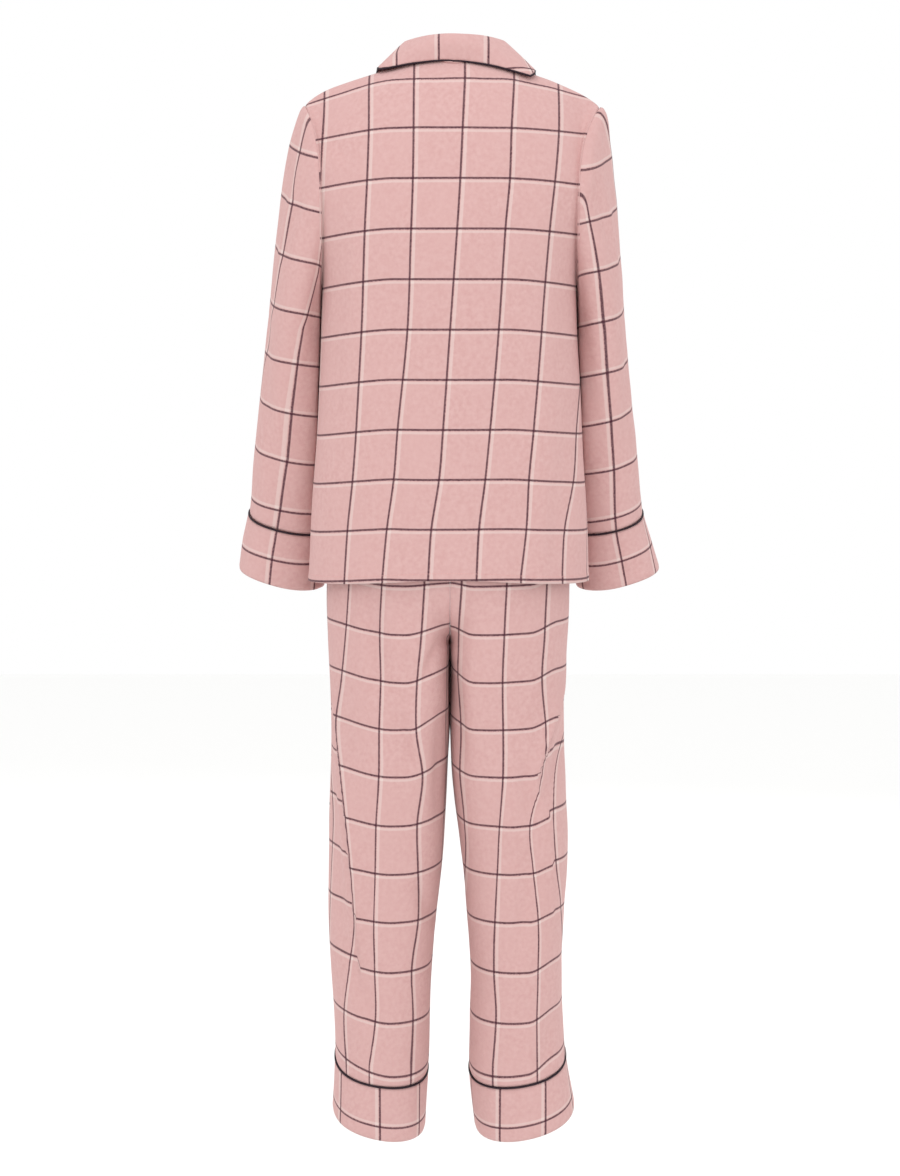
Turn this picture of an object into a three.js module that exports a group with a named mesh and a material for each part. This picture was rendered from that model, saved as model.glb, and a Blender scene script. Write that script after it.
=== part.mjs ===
// A pyjama set of brushed check cotton, filled out as if worn: a shirt with a notched collar, and trousers
// whose waistband is under it. Millimetres, +Z up. The front faces -Y, the back +Y and the left side +X. The
// origin lies midway between the two neck points, where the shoulder seams meet the collar.

import * as THREE from "three";

// Driving sizes
const CLOTH = 1.6; // one layer of brushed cotton as it is worn, with its nap
const DOUBLE_CLOTH = 2.2; // collar, lapels, cuffs and waistband, which are two layers
const SEAM_GAP = 0.3; // between two pieces that are sewn together
const PIPING_RADIUS = 1.3;
const ROUNDNESS = 2.3; // of the garment's cross-sections, where 2 is an ellipse

// share is where the neck point lies between the centre, which is 0, and the shoulder's tip, which is 1
const NECK = { centreX: -6, halfWidth: 66, backY: 56, share: 0.4 };
// The shoulder seams, from the neck point to the tip, and how high they would meet if there were no neck
const SHOULDER = { seamY: 4, tipY: -2, peak: 19, peakPower: 1.7, bendPower: 8 };
const SHOULDER_SIDES = {
  left: { tipX: 189, drop: 52, straight: 0.745 },
  right: { tipX: -195, drop: 54, straight: 0.8 },
};
const UNDERARM_Z = -290;
const ARMHOLE = { depth: 66, tuck: 3 };
const HEM_Z = { side: -671, back: -659, front: -664 };
const FRONT_OVERLAP = 0.097; // how far a front passes the centre line, as a share of the half front
const BREAK_LEVEL = 0.29; // where the lapel starts to roll
const GORGE_LEVEL = 0.84; // where the collar meets the lapel

// The stand's top at the back and the sides, and its height at the gorge
const STAND = { rollZ: 33, sideRollZ: 27, endHeight: 4, roll: 2.4, lean: -0.2 };
const BULGE = { back: 0.62, side: 0.42 }; // of the fall over the stand, as a share of the stand's height
// The fall's edge: how far it stands off the shirt, and where it runs
const FALL = { lift: 3.2, shoulderLift: 2.2, backLevel: 0.913, spread: 0.55 };
const FALL_END = { spread: 0.62, level: 0.8 };
const LAPEL = { lift: 2.9, rollLift: 1.4, start: 0.035, width: 0.4, taper: 0.32, slant: 0.1 };
const LEFT_LAPEL_LEVEL = 0.46; // where the left lapel comes out from under the right front
const BUTTON = { radius: 7, thickness: 3, rim: 1.6, edge: 0.6, dish: 0.8 };
const BUTTONS = { count: 5, first: -224, spacing: 88 };

const SLEEVE_RING_Z = -330; // the first ring across the arm, under the sleeve's head
const SLEEVE_END_Z = -675;
const SLEEVE_PIPING_Z = -600;
const LEG_PIPING_Z = -1331;
const LEG_END_Z = -1404;
const CROTCH_Z = -752;
const SEAT_CURVE_HEIGHT = 112;
const WAIST_Z = -487;
const WAISTBAND = { top: -452, gathers: 12, gatherDepth: 2.4, fade: 75 };

// Half widths and depths of the shirt's body at some heights, from the hem up to the underarm
const BODY_SECTIONS = [
  { z: -671, left: 188, right: 184, back: 129, front: 128 },
  { z: -567, left: 182, right: 180, back: 125, front: 125 },
  { z: -474, left: 175, right: 174, back: 121, front: 123 },
  { z: -370, left: 170, right: 168, back: 119, front: 121 },
  { z: -290, left: 167, right: 166, back: 119, front: 119 },
];

// Rings across the arm: the outer and inner side's distance from the centre, the back and the front, how much
// lower the back hangs than the middle, and how much higher the outer side is
const ARM_SECTIONS = [
  { z: -675, left: 286, right: 284, inner: 171, back: -28, front: -128, drop: 12, rise: 12 },
  { z: -640, left: 281, right: 273, inner: 170, back: -26, front: -128, drop: 12, rise: 12 },
  { z: -600, left: 272, right: 261, inner: 168, back: -22, front: -126, drop: 12, rise: 11 },
  { z: -530, left: 265, right: 253, inner: 164, back: -6, front: -128, drop: 11, rise: 10 },
  { z: -430, left: 253, right: 242, inner: 161, back: 15, front: -127, drop: 10, rise: 9 },
  { z: -330, left: 240, right: 231, inner: 163, back: 38, front: -122, drop: 10, rise: 9 },
];

// The same for each leg, where inLeft and inRight are the inner sides
const LEG_SECTIONS = [
  { z: -1404, left: 160, right: 169, inLeft: 34, inRight: 34, back: 70, front: -66 },
  { z: -1331, left: 156, right: 157, inLeft: 30, inRight: 26, back: 72, front: -68 },
  { z: -1270, left: 157, right: 153, inLeft: 27, inRight: 27, back: 75, front: -70 },
  { z: -1190, left: 161, right: 151, inLeft: 24, inRight: 28, back: 79, front: -72 },
  { z: -1120, left: 164, right: 154, inLeft: 18, inRight: 22, back: 83, front: -75 },
  { z: -1040, left: 163, right: 158, inLeft: 9, inRight: 15, back: 88, front: -79 },
  { z: -944, left: 161, right: 155, inLeft: 5, inRight: 4, back: 95, front: -84 },
  { z: -876, left: 159, right: 153, inLeft: 2.5, inRight: 2, back: 102, front: -89 },
  { z: -821, left: 160, right: 153, inLeft: 1.2, inRight: 1.2, back: 109, front: -94 },
  { z: -752, left: 163, right: 156, inLeft: 1, inRight: 1, back: 117, front: -101 },
];
// How each of those rings hangs, and how square its inner side is
const LEG_HANG = [
  { z: -1404, drop: 16, rise: 14, square: 2.2 },
  { z: -1331, drop: 15, rise: 10, square: 2.2 },
  { z: -1270, drop: 8, rise: 4, square: 2.3 },
  { z: -1190, drop: 3, rise: 1, square: 2.3 },
  { z: -1120, drop: 0, rise: 0, square: 2.4 },
  { z: -1040, drop: 0, rise: 0, square: 2.5 },
  { z: -944, drop: 0, rise: 0, square: 2.7 },
  { z: -876, drop: 0, rise: 0, square: 3 },
  { z: -821, drop: 0, rise: 0, square: 3.3 },
  { z: -752, drop: 0, rise: 0, square: 3.7 },
];

// Half widths and depths of the trousers above the crotch
const TRUNK_SECTIONS = [
  { z: -752, left: 163, right: 156, back: 117, front: 101 },
  { z: -690, left: 164, right: 158, back: 118, front: 102 },
  { z: -600, left: 160, right: 156, back: 116, front: 102 },
  { z: -540, left: 150, right: 148, back: 107, front: 97 },
  { z: -487, left: 137, right: 137, back: 97, front: 91 },
  { z: -452, left: 134, right: 134, back: 95, front: 89 },
];

// Folds, as seen from behind or from the front: each runs from (x1, z1) to (x2, z2), stands out by height
// or, where that is negative, sinks in, and fades over its width
const SHIRT_BACK_FOLDS = [
  { x1: 142, z1: -150, x2: 150, z2: -440, width: 17, height: -3.4 },
  { x1: 122, z1: -180, x2: 112, z2: -600, width: 24, height: 2.4 },
  { x1: -148, z1: -170, x2: -150, z2: -430, width: 15, height: -3.2 },
  { x1: -122, z1: -330, x2: -112, z2: -670, width: 20, height: 3 },
  { x1: -158, z1: -430, x2: -134, z2: -670, width: 14, height: -2.6 },
  { x1: 20, z1: -420, x2: 58, z2: -690, width: 26, height: 2.8 },
  { x1: 60, z1: -470, x2: 96, z2: -690, width: 20, height: -2.2 },
  { x1: -40, z1: -500, x2: -56, z2: -690, width: 24, height: -2.4 },
  { x1: 158, z1: -95, x2: 128, z2: -128, width: 12, height: -2.6 },
];
const SHIRT_FRONT_FOLDS = [
  { x1: 128, z1: -150, x2: 120, z2: -420, width: 18, height: -3 },
  { x1: -126, z1: -160, x2: -128, z2: -440, width: 18, height: -3 },
  { x1: 88, z1: -330, x2: 96, z2: -690, width: 22, height: 3.2 },
  { x1: -84, z1: -360, x2: -102, z2: -690, width: 22, height: 3.2 },
  { x1: 140, z1: -470, x2: 150, z2: -690, width: 18, height: -2.8 },
  { x1: -140, z1: -450, x2: -146, z2: -690, width: 18, height: -2.8 },
];
const TROUSER_BACK_FOLDS = [
  { x1: 158, z1: -835, x2: 124, z2: -1170, width: 13, height: 5.5 },
  { x1: 168, z1: -850, x2: 141, z2: -1150, width: 11, height: -8 },
  { x1: 8, z1: -765, x2: 42, z2: -842, width: 13, height: -5 },
  { x1: 14, z1: -815, x2: 20, z2: -985, width: 9, height: -3.5 },
  { x1: 52, z1: -830, x2: 34, z2: -915, width: 15, height: 3.6 },
  { x1: 108, z1: -660, x2: 96, z2: -800, width: 18, height: -3.6 },
  { x1: 122, z1: -1170, x2: 106, z2: -1260, width: 13, height: -4 },
  { x1: 42, z1: -1060, x2: 24, z2: -1130, width: 12, height: -3 },
  { x1: -152, z1: -815, x2: -112, z2: -945, width: 13, height: 5.5 },
  { x1: -166, z1: -840, x2: -126, z2: -950, width: 12, height: -8 },
  { x1: -138, z1: -925, x2: -136, z2: -1120, width: 14, height: 3.6 },
  { x1: -8, z1: -790, x2: -16, z2: -900, width: 11, height: -4 },
  { x1: -74, z1: -925, x2: -84, z2: -1020, width: 16, height: 3.4 },
  { x1: -104, z1: -1020, x2: -92, z2: -1170, width: 16, height: -3 },
  { x1: -140, z1: -1240, x2: -128, z2: -1330, width: 13, height: -3.4 },
];
const TROUSER_FRONT_FOLDS = [
  { x1: 10, z1: -740, x2: 66, z2: -690, width: 13, height: -3.6 },
  { x1: -10, z1: -748, x2: -70, z2: -712, width: 13, height: -3.6 },
  { x1: 22, z1: -800, x2: 60, z2: -900, width: 15, height: 3.6 },
  { x1: -20, z1: -805, x2: -56, z2: -890, width: 15, height: 3.6 },
  { x1: 120, z1: -900, x2: 84, z2: -1090, width: 17, height: -4.5 },
  { x1: -118, z1: -920, x2: -86, z2: -1080, width: 17, height: -4.5 },
  { x1: 96, z1: -1190, x2: 66, z2: -1320, width: 16, height: -4 },
  { x1: -98, z1: -1180, x2: -70, z2: -1310, width: 16, height: -4 },
];
// Folds of both sleeves: places round the sleeve, where 0 is the outside and 0.25 the back, and levels down
// it, where 0 is the armhole, 1 the first ring and 2 the cuff's edge
const SLEEVE_FOLDS = [
  { turn1: 0.2, level1: 0.08, turn2: 0.17, level2: 0.62, width: 0.022, height: -3.2 },
  { turn1: 0.14, level1: 0.1, turn2: 0.13, level2: 0.8, width: 0.024, height: 2.6 },
  { turn1: 0.09, level1: 0.06, turn2: 0.09, level2: 0.7, width: 0.022, height: -2.8 },
  { turn1: 0.3, level1: 0.1, turn2: 0.22, level2: 0.9, width: 0.03, height: 3 },
  { turn1: 0.33, level1: 0.5, turn2: 0.27, level2: 1.5, width: 0.03, height: -3.4 },
  { turn1: 0.12, level1: 1.0, turn2: 0.2, level2: 1.65, width: 0.03, height: -2.6 },
  { turn1: 0.8, level1: 0.1, turn2: 0.8, level2: 0.8, width: 0.03, height: -3.2 },
  { turn1: 0.9, level1: 0.1, turn2: 0.88, level2: 0.7, width: 0.025, height: 2.6 },
  { turn1: 0.72, level1: 1.05, turn2: 0.8, level2: 1.6, width: 0.035, height: -4.5 },
  { turn1: 0.66, level1: 1.15, turn2: 0.72, level2: 1.7, width: 0.03, height: 3.4 },
];

// The finish of each kind of piece
const flannel = { color: 0xe4b8b4, roughness: 0.95, metalness: 0 };
const cord = { color: 0x2a1420, roughness: 0.75, metalness: 0 };
const shell = { color: 0xdcb3ae, roughness: 0.35, metalness: 0 };

const { abs, cos, hypot, max, min, pow, sin, PI } = Math;
const { clamp, lerp, smoothstep } = THREE.MathUtils;
const SIDES = { left: 1, right: -1 };

// Table reading and folds

// A column of a table of sections at any height, on a smooth curve through its rows.
function read(sections, column, z) {
  const last = sections.length - 1;
  let i = 0;
  while (i < last - 1 && z > sections[i + 1].z) i++;
  const [low, high] = [sections[i], sections[i + 1]];
  const slope = (k) => {
    const [a, b] = [sections[max(k - 1, 0)], sections[min(k + 1, last)]];
    return (b[column] - a[column]) / (b.z - a.z);
  };
  const span = high.z - low.z;
  const f = clamp((z - low.z) / span, 0, 1);
  const [f2, f3] = [f * f, f * f * f];
  return (
    low[column] * (2 * f3 - 3 * f2 + 1) +
    high[column] * (3 * f2 - 2 * f3) +
    span * (slope(i) * (f3 - 2 * f2 + f) + slope(i + 1) * (f3 - f2))
  );
}

// How far a fold from (u1, v1) to (u2, v2) moves the cloth at (u, v). stretch scales v to u.
function foldHeight(fold, u, v, [u1, v1], [u2, v2], stretch = 1) {
  const [du, dv] = [u2 - u1, (v2 - v1) * stretch];
  const share = ((u - u1) * du + (v - v1) * stretch * dv) / (du * du + dv * dv);
  const at = clamp(share, 0, 1);
  const away = hypot(u - u1 - at * du, (v - v1) * stretch - at * dv) / fold.width;
  // It is highest halfway along and low at its ends.
  const along = pow(sin(PI * clamp(lerp(0.08, 0.92, share), 0, 1)), 0.8);
  return fold.height * along * Math.exp(-away * away);
}

// All the folds of a table at a point of a panel, seen square on.
function foldsAt(folds, x, z) {
  return folds.reduce((sum, f) => sum + foldHeight(f, x, z, [f.x1, f.z1], [f.x2, f.z2]), 0);
}

// The distance from the middle of a rounded section to its edge, at an angle from the depth's direction.
function reach(width, depth, angle, roundness = ROUNDNESS) {
  const share = pow(abs(sin(angle)) / width, roundness) + pow(abs(cos(angle)) / depth, roundness);
  return pow(share, -1 / roundness);
}

// Walls

// The direction square to a surface at (u, v), from two short steps that stay within its limits.
function squareTo(surface, u, v, limits) {
  const step = 1e-3;
  const [u0, u1] = [max(u - step, limits.u[0]), min(u + step, limits.u[1])];
  const [v0, v1] = [max(v - step, limits.v[0]), min(v + step, limits.v[1])];
  const across = surface(u1, v).sub(surface(u0, v));
  const along = surface(u, v1).sub(surface(u, v0));
  return across.cross(along).normalize();
}

// A surface moved along its own normal by move(point, u, v). facing is 1 or -1, whichever points outwards.
function raised(surface, limits, facing, move) {
  return (u, v) => {
    const point = surface(u, v);
    return point.addScaledVector(squareTo(surface, u, v, limits), facing * move(point, u, v));
  };
}

// The closed solid between a grid of outer points and a grid of inner points. Rows run along v, and a closed
// wall joins its last column to its first.
function solidBetween(outer, inner, closed) {
  const [columns, rows] = [outer.length, outer[0].length];
  const positions = [];
  for (const grid of [outer, inner])
    for (const column of grid) for (const p of column) positions.push(p.x, p.y, p.z);
  const outerAt = (i, j) => (i % columns) * rows + j;
  const innerAt = (i, j) => columns * rows + outerAt(i, j);
  const faces = [];
  const quad = (a, b, c, d) => faces.push(a, b, c, a, c, d);
  const spans = closed ? columns : columns - 1;
  for (let i = 0; i < spans; i++) {
    for (let j = 0; j < rows - 1; j++) {
      quad(outerAt(i, j), outerAt(i + 1, j), outerAt(i + 1, j + 1), outerAt(i, j + 1));
      quad(innerAt(i, j), innerAt(i, j + 1), innerAt(i + 1, j + 1), innerAt(i + 1, j));
    }
    quad(outerAt(i, 0), innerAt(i, 0), innerAt(i + 1, 0), outerAt(i + 1, 0));
    quad(outerAt(i, rows - 1), outerAt(i + 1, rows - 1), innerAt(i + 1, rows - 1), innerAt(i, rows - 1));
  }
  if (!closed)
    for (let j = 0; j < rows - 1; j++) {
      quad(outerAt(0, j), outerAt(0, j + 1), innerAt(0, j + 1), innerAt(0, j));
      const end = columns - 1;
      quad(outerAt(end, j), innerAt(end, j), innerAt(end, j + 1), outerAt(end, j + 1));
    }
  return closedGeometry(positions, faces);
}

// A mesh of these closed faces, turned so that they face outwards.
function closedGeometry(positions, faces) {
  const geometry = new THREE.BufferGeometry();
  geometry.setAttribute("position", new THREE.Float32BufferAttribute(positions, 3));
  geometry.setIndex(volumeOf(positions, faces) < 0 ? faces.toReversed() : faces);
  geometry.computeVertexNormals();
  return geometry;
}

// The signed volume inside a closed set of faces, which is negative when they point inwards.
function volumeOf(positions, faces) {
  const corner = (k) => new THREE.Vector3().fromArray(positions, 3 * faces[k]);
  let volume = 0;
  for (let k = 0; k < faces.length; k += 3) {
    volume += corner(k).dot(corner(k + 1).cross(corner(k + 2))) / 6;
  }
  return volume;
}

// A wall of cloth: the surface at each (u, v) of the grid, and the same points moved in by the thickness.
// inward gives another direction than the surface's own, where a seam needs one.
function wall(surface, us, vs, { facing, thickness = CLOTH, closed = false, limits, inward }) {
  const outer = us.map((u) => vs.map((v) => surface(u, v)));
  const own = (u, v) => squareTo(surface, u, v, limits).multiplyScalar(-facing);
  const inner = us.map((u, i) =>
    vs.map((v, j) => outer[i][j].clone().addScaledVector((inward ?? own)(u, v, own), thickness)),
  );
  return solidBetween(outer, inner, closed);
}

// count + 1 evenly spaced numbers, and the same crowded towards both ends or towards the last.
const evenly = (from, to, count) => Array.from({ length: count + 1 }, (_, k) => lerp(from, to, k / count));
const crowded = (from, to, count) => evenly(0, PI, count).map((a) => lerp(to, from, (1 + cos(a)) / 2));
const crowdedLast = (from, to, count) => evenly(0, PI / 2, count).map((a) => lerp(from, to, sin(a)));

// The shirt's body

// The line over the shoulders at s, which goes from 0 at the centre to 1 at the left tip and -1 at the right.
// It is the shoulder seam from the neck point to the tip, and between the neck points it only shapes the
// cloth below the neck.
function shoulderLine(s) {
  const [side, share] = [s < 0 ? "right" : "left", abs(s)];
  const { tipX, drop, straight } = SHOULDER_SIDES[side];
  const neckPower = Math.log(NECK.halfWidth / abs(tipX - NECK.centreX)) / Math.log(NECK.share);
  const along = max(0, (share - NECK.share) / (1 - NECK.share));
  const fall = drop * (straight * along + (1 - straight) * pow(along, SHOULDER.bendPower));
  const peak = SHOULDER.peak * (1 - pow(min(1, share / NECK.share), SHOULDER.peakPower));
  return new THREE.Vector3(
    lerp(NECK.centreX, tipX, pow(share, neckPower)),
    lerp(SHOULDER.seamY, SHOULDER.tipY, along),
    peak - fall,
  );
}

const DEPTH_POWER = 2.3; // of the cloth's curve from the underarm's level up to the shoulder line

// The level at s where the back's neck is cut out.
function neckLevel(s) {
  if (abs(s) >= NECK.share) return 1;
  const line = SHOULDER.seamY;
  const neckY = lerp(line, NECK.backY, cos(((s / NECK.share) * PI) / 2));
  const depth = bodyForm(1, s, 0).y;
  return pow(1 - pow((neckY - line) / (depth - line), DEPTH_POWER), 1 / DEPTH_POWER);
}

// A point of the body's form. face is 1 for the back and -1 for the front. s runs from 0 at the centre line
// to 1 at the left side seam and armhole, and to -1 at the right. level is -1 at the hem, 0 at the underarm
// and 1 at the shoulder line.
function bodyForm(face, s, level) {
  const angle = (s * PI) / 2;
  const [widthColumn, depthColumn] = [s < 0 ? "right" : "left", face > 0 ? "back" : "front"];
  const hem = lerp(HEM_Z.side, HEM_Z[depthColumn], cos(angle) ** 2);
  const z = level < 0 ? lerp(hem, UNDERARM_Z, level + 1) : UNDERARM_Z;
  const radius = reach(read(BODY_SECTIONS, widthColumn, z), read(BODY_SECTIONS, depthColumn, z), angle);
  const below = new THREE.Vector3(radius * sin(angle), face * radius * cos(angle), z);
  if (level <= 0) return below;
  const top = shoulderLine(s);
  const edge = pow(abs(s), 5);
  // Near its sides the cloth is drawn in to the tips and bows out to the armhole's loop.
  const bulge = ARMHOLE.depth * edge * pow(4 * level * (1 - level), lerp(2, 0.6, edge * edge));
  const tuck = ARMHOLE.tuck * edge * sin(PI * level) * (s < 0 ? -1 : 1);
  return new THREE.Vector3(
    lerp(below.x, top.x, pow(level, lerp(2, 6, pow(abs(s), 3)))) - tuck,
    top.y + (below.y - top.y) * pow(1 - pow(level, DEPTH_POWER), 1 / DEPTH_POWER) + face * bulge,
    lerp(UNDERARM_Z, top.z, level),
  );
}

const BODY_LIMITS = { u: [-1, 1], v: [-1, 1] };
// Seen along (s, level), the back's normal points out as it is, and the front's the other way round.
const bodyFacing = (face) => -face;

// The body with its folds, which fade out towards the seams.
const bodyCloth = Object.fromEntries(
  [[1, SHIRT_BACK_FOLDS], [-1, SHIRT_FRONT_FOLDS]].map(([face, folds]) => [
    face,
    raised((s, level) => bodyForm(face, s, level), BODY_LIMITS, bodyFacing(face), (p, s, level) =>
      foldsAt(folds, p.x, p.z) * (1 - pow(abs(s), 8)) * (1 - smoothstep(level, 0.75, 1)),
    ),
  ]),
);

const HALF_GAP = SEAM_GAP / 2;
const RIM_LEAN = 0.15; // how far the rims at an armhole turn away from each other
const BACK_LEVELS = [...evenly(-1, 0, 8).slice(0, -1), ...crowded(0, 1, 10)];
const HALF_COLUMNS = [...evenly(0, NECK.share, 4).slice(0, -1), ...evenly(NECK.share, 1, 7)];

// Keeps the back and the fronts half a seam's gap from their shared side and shoulder seams.
function offSeam(face, point) {
  point.y += face * HALF_GAP;
  return point;
}

// Keeps a body panel's rim in the plane of its side and shoulder seams, and off the sleeve at the armhole.
function alongSeams(s, level, direction) {
  const [side, share] = [s < 0 ? -1 : 1, abs(s)];
  if (share === 1 && level <= 0) return direction.set(-side, 0, 0);
  if (level === 1 && share > NECK.share) direction.setY(0);
  if (share === 1 && side * direction.x > -RIM_LEAN) direction.setX(-RIM_LEAN * side);
  return direction.normalize();
}

// A level of the back with its upper rows drawn down, so that the row at 1 follows the neck.
const underNeck = (s, level) => (level > 0 ? level - (1 - neckLevel(s)) * pow(level, 6) : level);

function shirtBack() {
  const columns = [...HALF_COLUMNS.slice(1).toReversed().map((s) => -s), ...HALF_COLUMNS];
  const surface = (s, level) => offSeam(1, bodyCloth[1](s, underNeck(s, level)));
  const inward = (s, level, own) => alongSeams(s, level, own(s, level));
  return wall(surface, columns, BACK_LEVELS, { facing: bodyFacing(1), limits: BODY_LIMITS, inward });
}

// Where a front ends towards the middle, as s on its own side: straight down past the centre line under the
// break, and along the V of the neck above it.
function frontEdge(level) {
  const up = max(0, (level - BREAK_LEVEL) / (1 - BREAK_LEVEL));
  return lerp(-FRONT_OVERLAP, NECK.share, up);
}

const LAP_GAP = 0.7; // between the right front and the left one that it laps over

// The left front passes under the right one, so near the centre line it lies that much further in.
function tuckUnder(side, s) {
  return side > 0 ? (CLOTH + LAP_GAP) * (1 - smoothstep(s, 0.12, 0.3)) : 0;
}

// A point of a front, with s on its own side: 0 at the centre line and 1 at its side seam.
function frontCloth(side, s, level, lift = 0) {
  const lifted = raised(
    (a, b) => bodyCloth[-1](a, b),
    BODY_LIMITS,
    bodyFacing(-1),
    () => lift - tuckUnder(side, s),
  );
  return offSeam(-1, lifted(side * s, level));
}

function shirtFront(side) {
  const surface = (q, level) => frontCloth(side, lerp(frontEdge(level), 1, q), level);
  const limits = { u: [0, 1], v: [-1, 1] };
  const inward = (q, level, own) => alongSeams(side * lerp(frontEdge(level), 1, q), level, own(q, level));
  return wall(surface, evenly(0, 1, 9), BACK_LEVELS, { facing: side, limits, inward });
}

// The lapel: the front turned back on itself along the V, so that it lies on the front from the break to the
// gorge. It widens upwards and its top slants down to the notch.
function lapel(side) {
  const surface = (q, level) => {
    const up = (level - BREAK_LEVEL) / (GORGE_LEVEL - BREAK_LEVEL);
    const width = LAPEL.start + LAPEL.width * pow(up, 0.75) * (1 - LAPEL.taper * pow(up, 6));
    const lift = lerp(LAPEL.rollLift, LAPEL.lift, smoothstep(q, 0, 0.2)) + CLOTH / 2;
    return frontCloth(side, frontEdge(level) + width * q, level - LAPEL.slant * up * q, lift);
  };
  const levels = evenly(side > 0 ? LEFT_LAPEL_LEVEL : BREAK_LEVEL + 0.02, GORGE_LEVEL - 0.006, 8);
  const limits = { u: [0, 1], v: [levels[0], levels.at(-1)] };
  return wall(surface, evenly(0, 1, 4), levels, { facing: side, limits });
}

// The collar

// The neck seam at a station: 0 to 1 run from the centre back to the neck point and 1 to 2 on down the V to
// the gorge, on the side whose sign they have.
function neckSeam(station) {
  const [side, at] = [station < 0 ? -1 : 1, abs(station)];
  const s = side * at * NECK.share;
  if (at <= 1) return bodyForm(1, s, neckLevel(s));
  const level = lerp(1, GORGE_LEVEL + 0.02, at - 1);
  return frontCloth(side, frontEdge(level), level);
}

// The outer edge of the fall, which lies on the back, the shoulder and then the front.
function fallEdge(station) {
  const [side, at] = [station < 0 ? -1 : 1, abs(station)];
  const lift = FALL.lift + FALL.shoulderLift * sin(PI * clamp((at - 0.3) / 1.7, 0, 1));
  if (at <= 1) {
    const level = lerp(FALL.backLevel, 1, pow(at, 2.2));
    return raised(bodyCloth[1], BODY_LIMITS, bodyFacing(1), () => lift)(side * FALL.spread * at, level);
  }
  const [s, level] = [lerp(FALL.spread, FALL_END.spread, at - 1), lerp(1, FALL_END.level, at - 1)];
  return frontCloth(side, s, level, lift);
}

// The middle of the collar's cloth at a station: up the stand from the neck seam, over the roll and down the
// fall.
function collarCurve(station) {
  const at = abs(station);
  const [seam, edge] = [neckSeam(station), fallEdge(station)];
  const outward = edge.clone().sub(seam).setZ(0).normalize();
  const front = smoothstep(at, 1, 2);
  const backHeight = lerp(STAND.rollZ, STAND.sideRollZ, pow(at, 4)) - seam.z;
  const height = at <= 1 ? backHeight : lerp(STAND.sideRollZ, STAND.endHeight, front);
  const up = new THREE.Vector3(0, 0, 1).lerp(new THREE.Vector3(0, -1, 0), front * 0.8).normalize();
  const lean = outward.clone().multiplyScalar(lerp(STAND.lean, 0, smoothstep(at, 0.4, 2)));
  const stand = up.clone().add(lean).normalize();
  // Behind the neck the stand meets the back edge to edge, and in front its thickness lies over the front.
  const offSeamBy = lerp(SEAM_GAP + 0.4, DOUBLE_CLOTH / 2 + SEAM_GAP, smoothstep(at, 0.7, 1.1));
  const start = seam.clone().addScaledVector(stand, offSeamBy);
  const roll = seam.clone().addScaledVector(stand, height);
  const point = (from, a, b) => from.clone().addScaledVector(outward, a).addScaledVector(stand, b);
  const rise = lerp(BULGE.back, BULGE.side, smoothstep(at, 0.3, 1)) * height;
  const bulge = seam.clone().lerp(edge, 0.5).addScaledVector(up, rise).addScaledVector(outward, 3);
  return new THREE.CatmullRomCurve3([
    start,
    start.clone().lerp(roll, 0.6),
    point(roll, 0, -STAND.roll * 0.3),
    point(roll, STAND.roll, STAND.roll * 0.5),
    point(roll, 2 * STAND.roll, -STAND.roll * 0.3),
    bulge,
    edge,
  ]);
}

const STATIONS = [...evenly(-2, -1, 6).slice(0, -1), ...evenly(-1, 1, 14), ...evenly(1, 2, 6).slice(1)];
// Where the curve is read, closest together over the roll, in steps from one of its points to the next
const PROFILE = [0, 1, 2, 2.5, 3, 3.5, 4, 4.6, 5.3, 6].map((step) => step / 6);

function collar() {
  const curves = new Map(STATIONS.map((station) => [station, collarCurve(station)]));
  const middle = STATIONS.map((station) => PROFILE.map((f) => curves.get(station).getPoint(f)));
  const last = [STATIONS.length - 1, PROFILE.length - 1];
  const at = (i, j) => middle[clamp(i, 0, last[0])][clamp(j, 0, last[1])];
  const moved = (distance) =>
    middle.map((column, i) =>
      column.map((p, j) => {
        const across = at(i + 1, j).clone().sub(at(i - 1, j));
        const along = at(i, j + 1).clone().sub(at(i, j - 1));
        return p.clone().addScaledVector(across.cross(along).normalize(), distance);
      }),
    );
  return solidBetween(moved(DOUBLE_CLOTH / 2), moved(-DOUBLE_CLOTH / 2), false);
}

// Piping: a cord folded into a strip, which shows as a thin roll along a seam or edge. Each of its places has
// a middle and two directions square to the cord.
const CORD_SIDES = 6;
function piping(places, closed) {
  const positions = [];
  for (const { middle, out, normal } of places)
    for (const angle of evenly(0, 2 * PI, CORD_SIDES).slice(0, -1)) {
      const p = middle.clone().addScaledVector(out, PIPING_RADIUS * cos(angle));
      positions.push(...p.addScaledVector(normal, PIPING_RADIUS * sin(angle)).toArray());
    }
  const count = places.length;
  const at = (i, k) => (i % count) * CORD_SIDES + (k % CORD_SIDES);
  const faces = [];
  for (let i = 0; i < (closed ? count : count - 1); i++)
    for (let k = 0; k < CORD_SIDES; k++) {
      faces.push(at(i, k), at(i + 1, k), at(i + 1, k + 1), at(i, k), at(i + 1, k + 1), at(i, k + 1));
    }
  if (!closed)
    for (let k = 1; k < CORD_SIDES - 1; k++) {
      faces.push(at(0, 0), at(0, k), at(0, k + 1));
      faces.push(at(count - 1, 0), at(count - 1, k + 1), at(count - 1, k));
    }
  return closedGeometry(positions, faces);
}

function collarPiping() {
  const places = STATIONS.map((station) => {
    const edge = (s) => collarCurve(clamp(s, -2, 2)).getPointAt(1);
    const out = collarCurve(station).getTangentAt(1);
    const along = edge(station + 0.05).sub(edge(station - 0.05)).normalize();
    const normal = along.clone().cross(out).normalize();
    const away = normal.clone().cross(along);
    const middle = edge(station).addScaledVector(away, PIPING_RADIUS + 1.5 * SEAM_GAP);
    return { middle, out: away, normal };
  });
  return piping(places, false);
}

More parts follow.
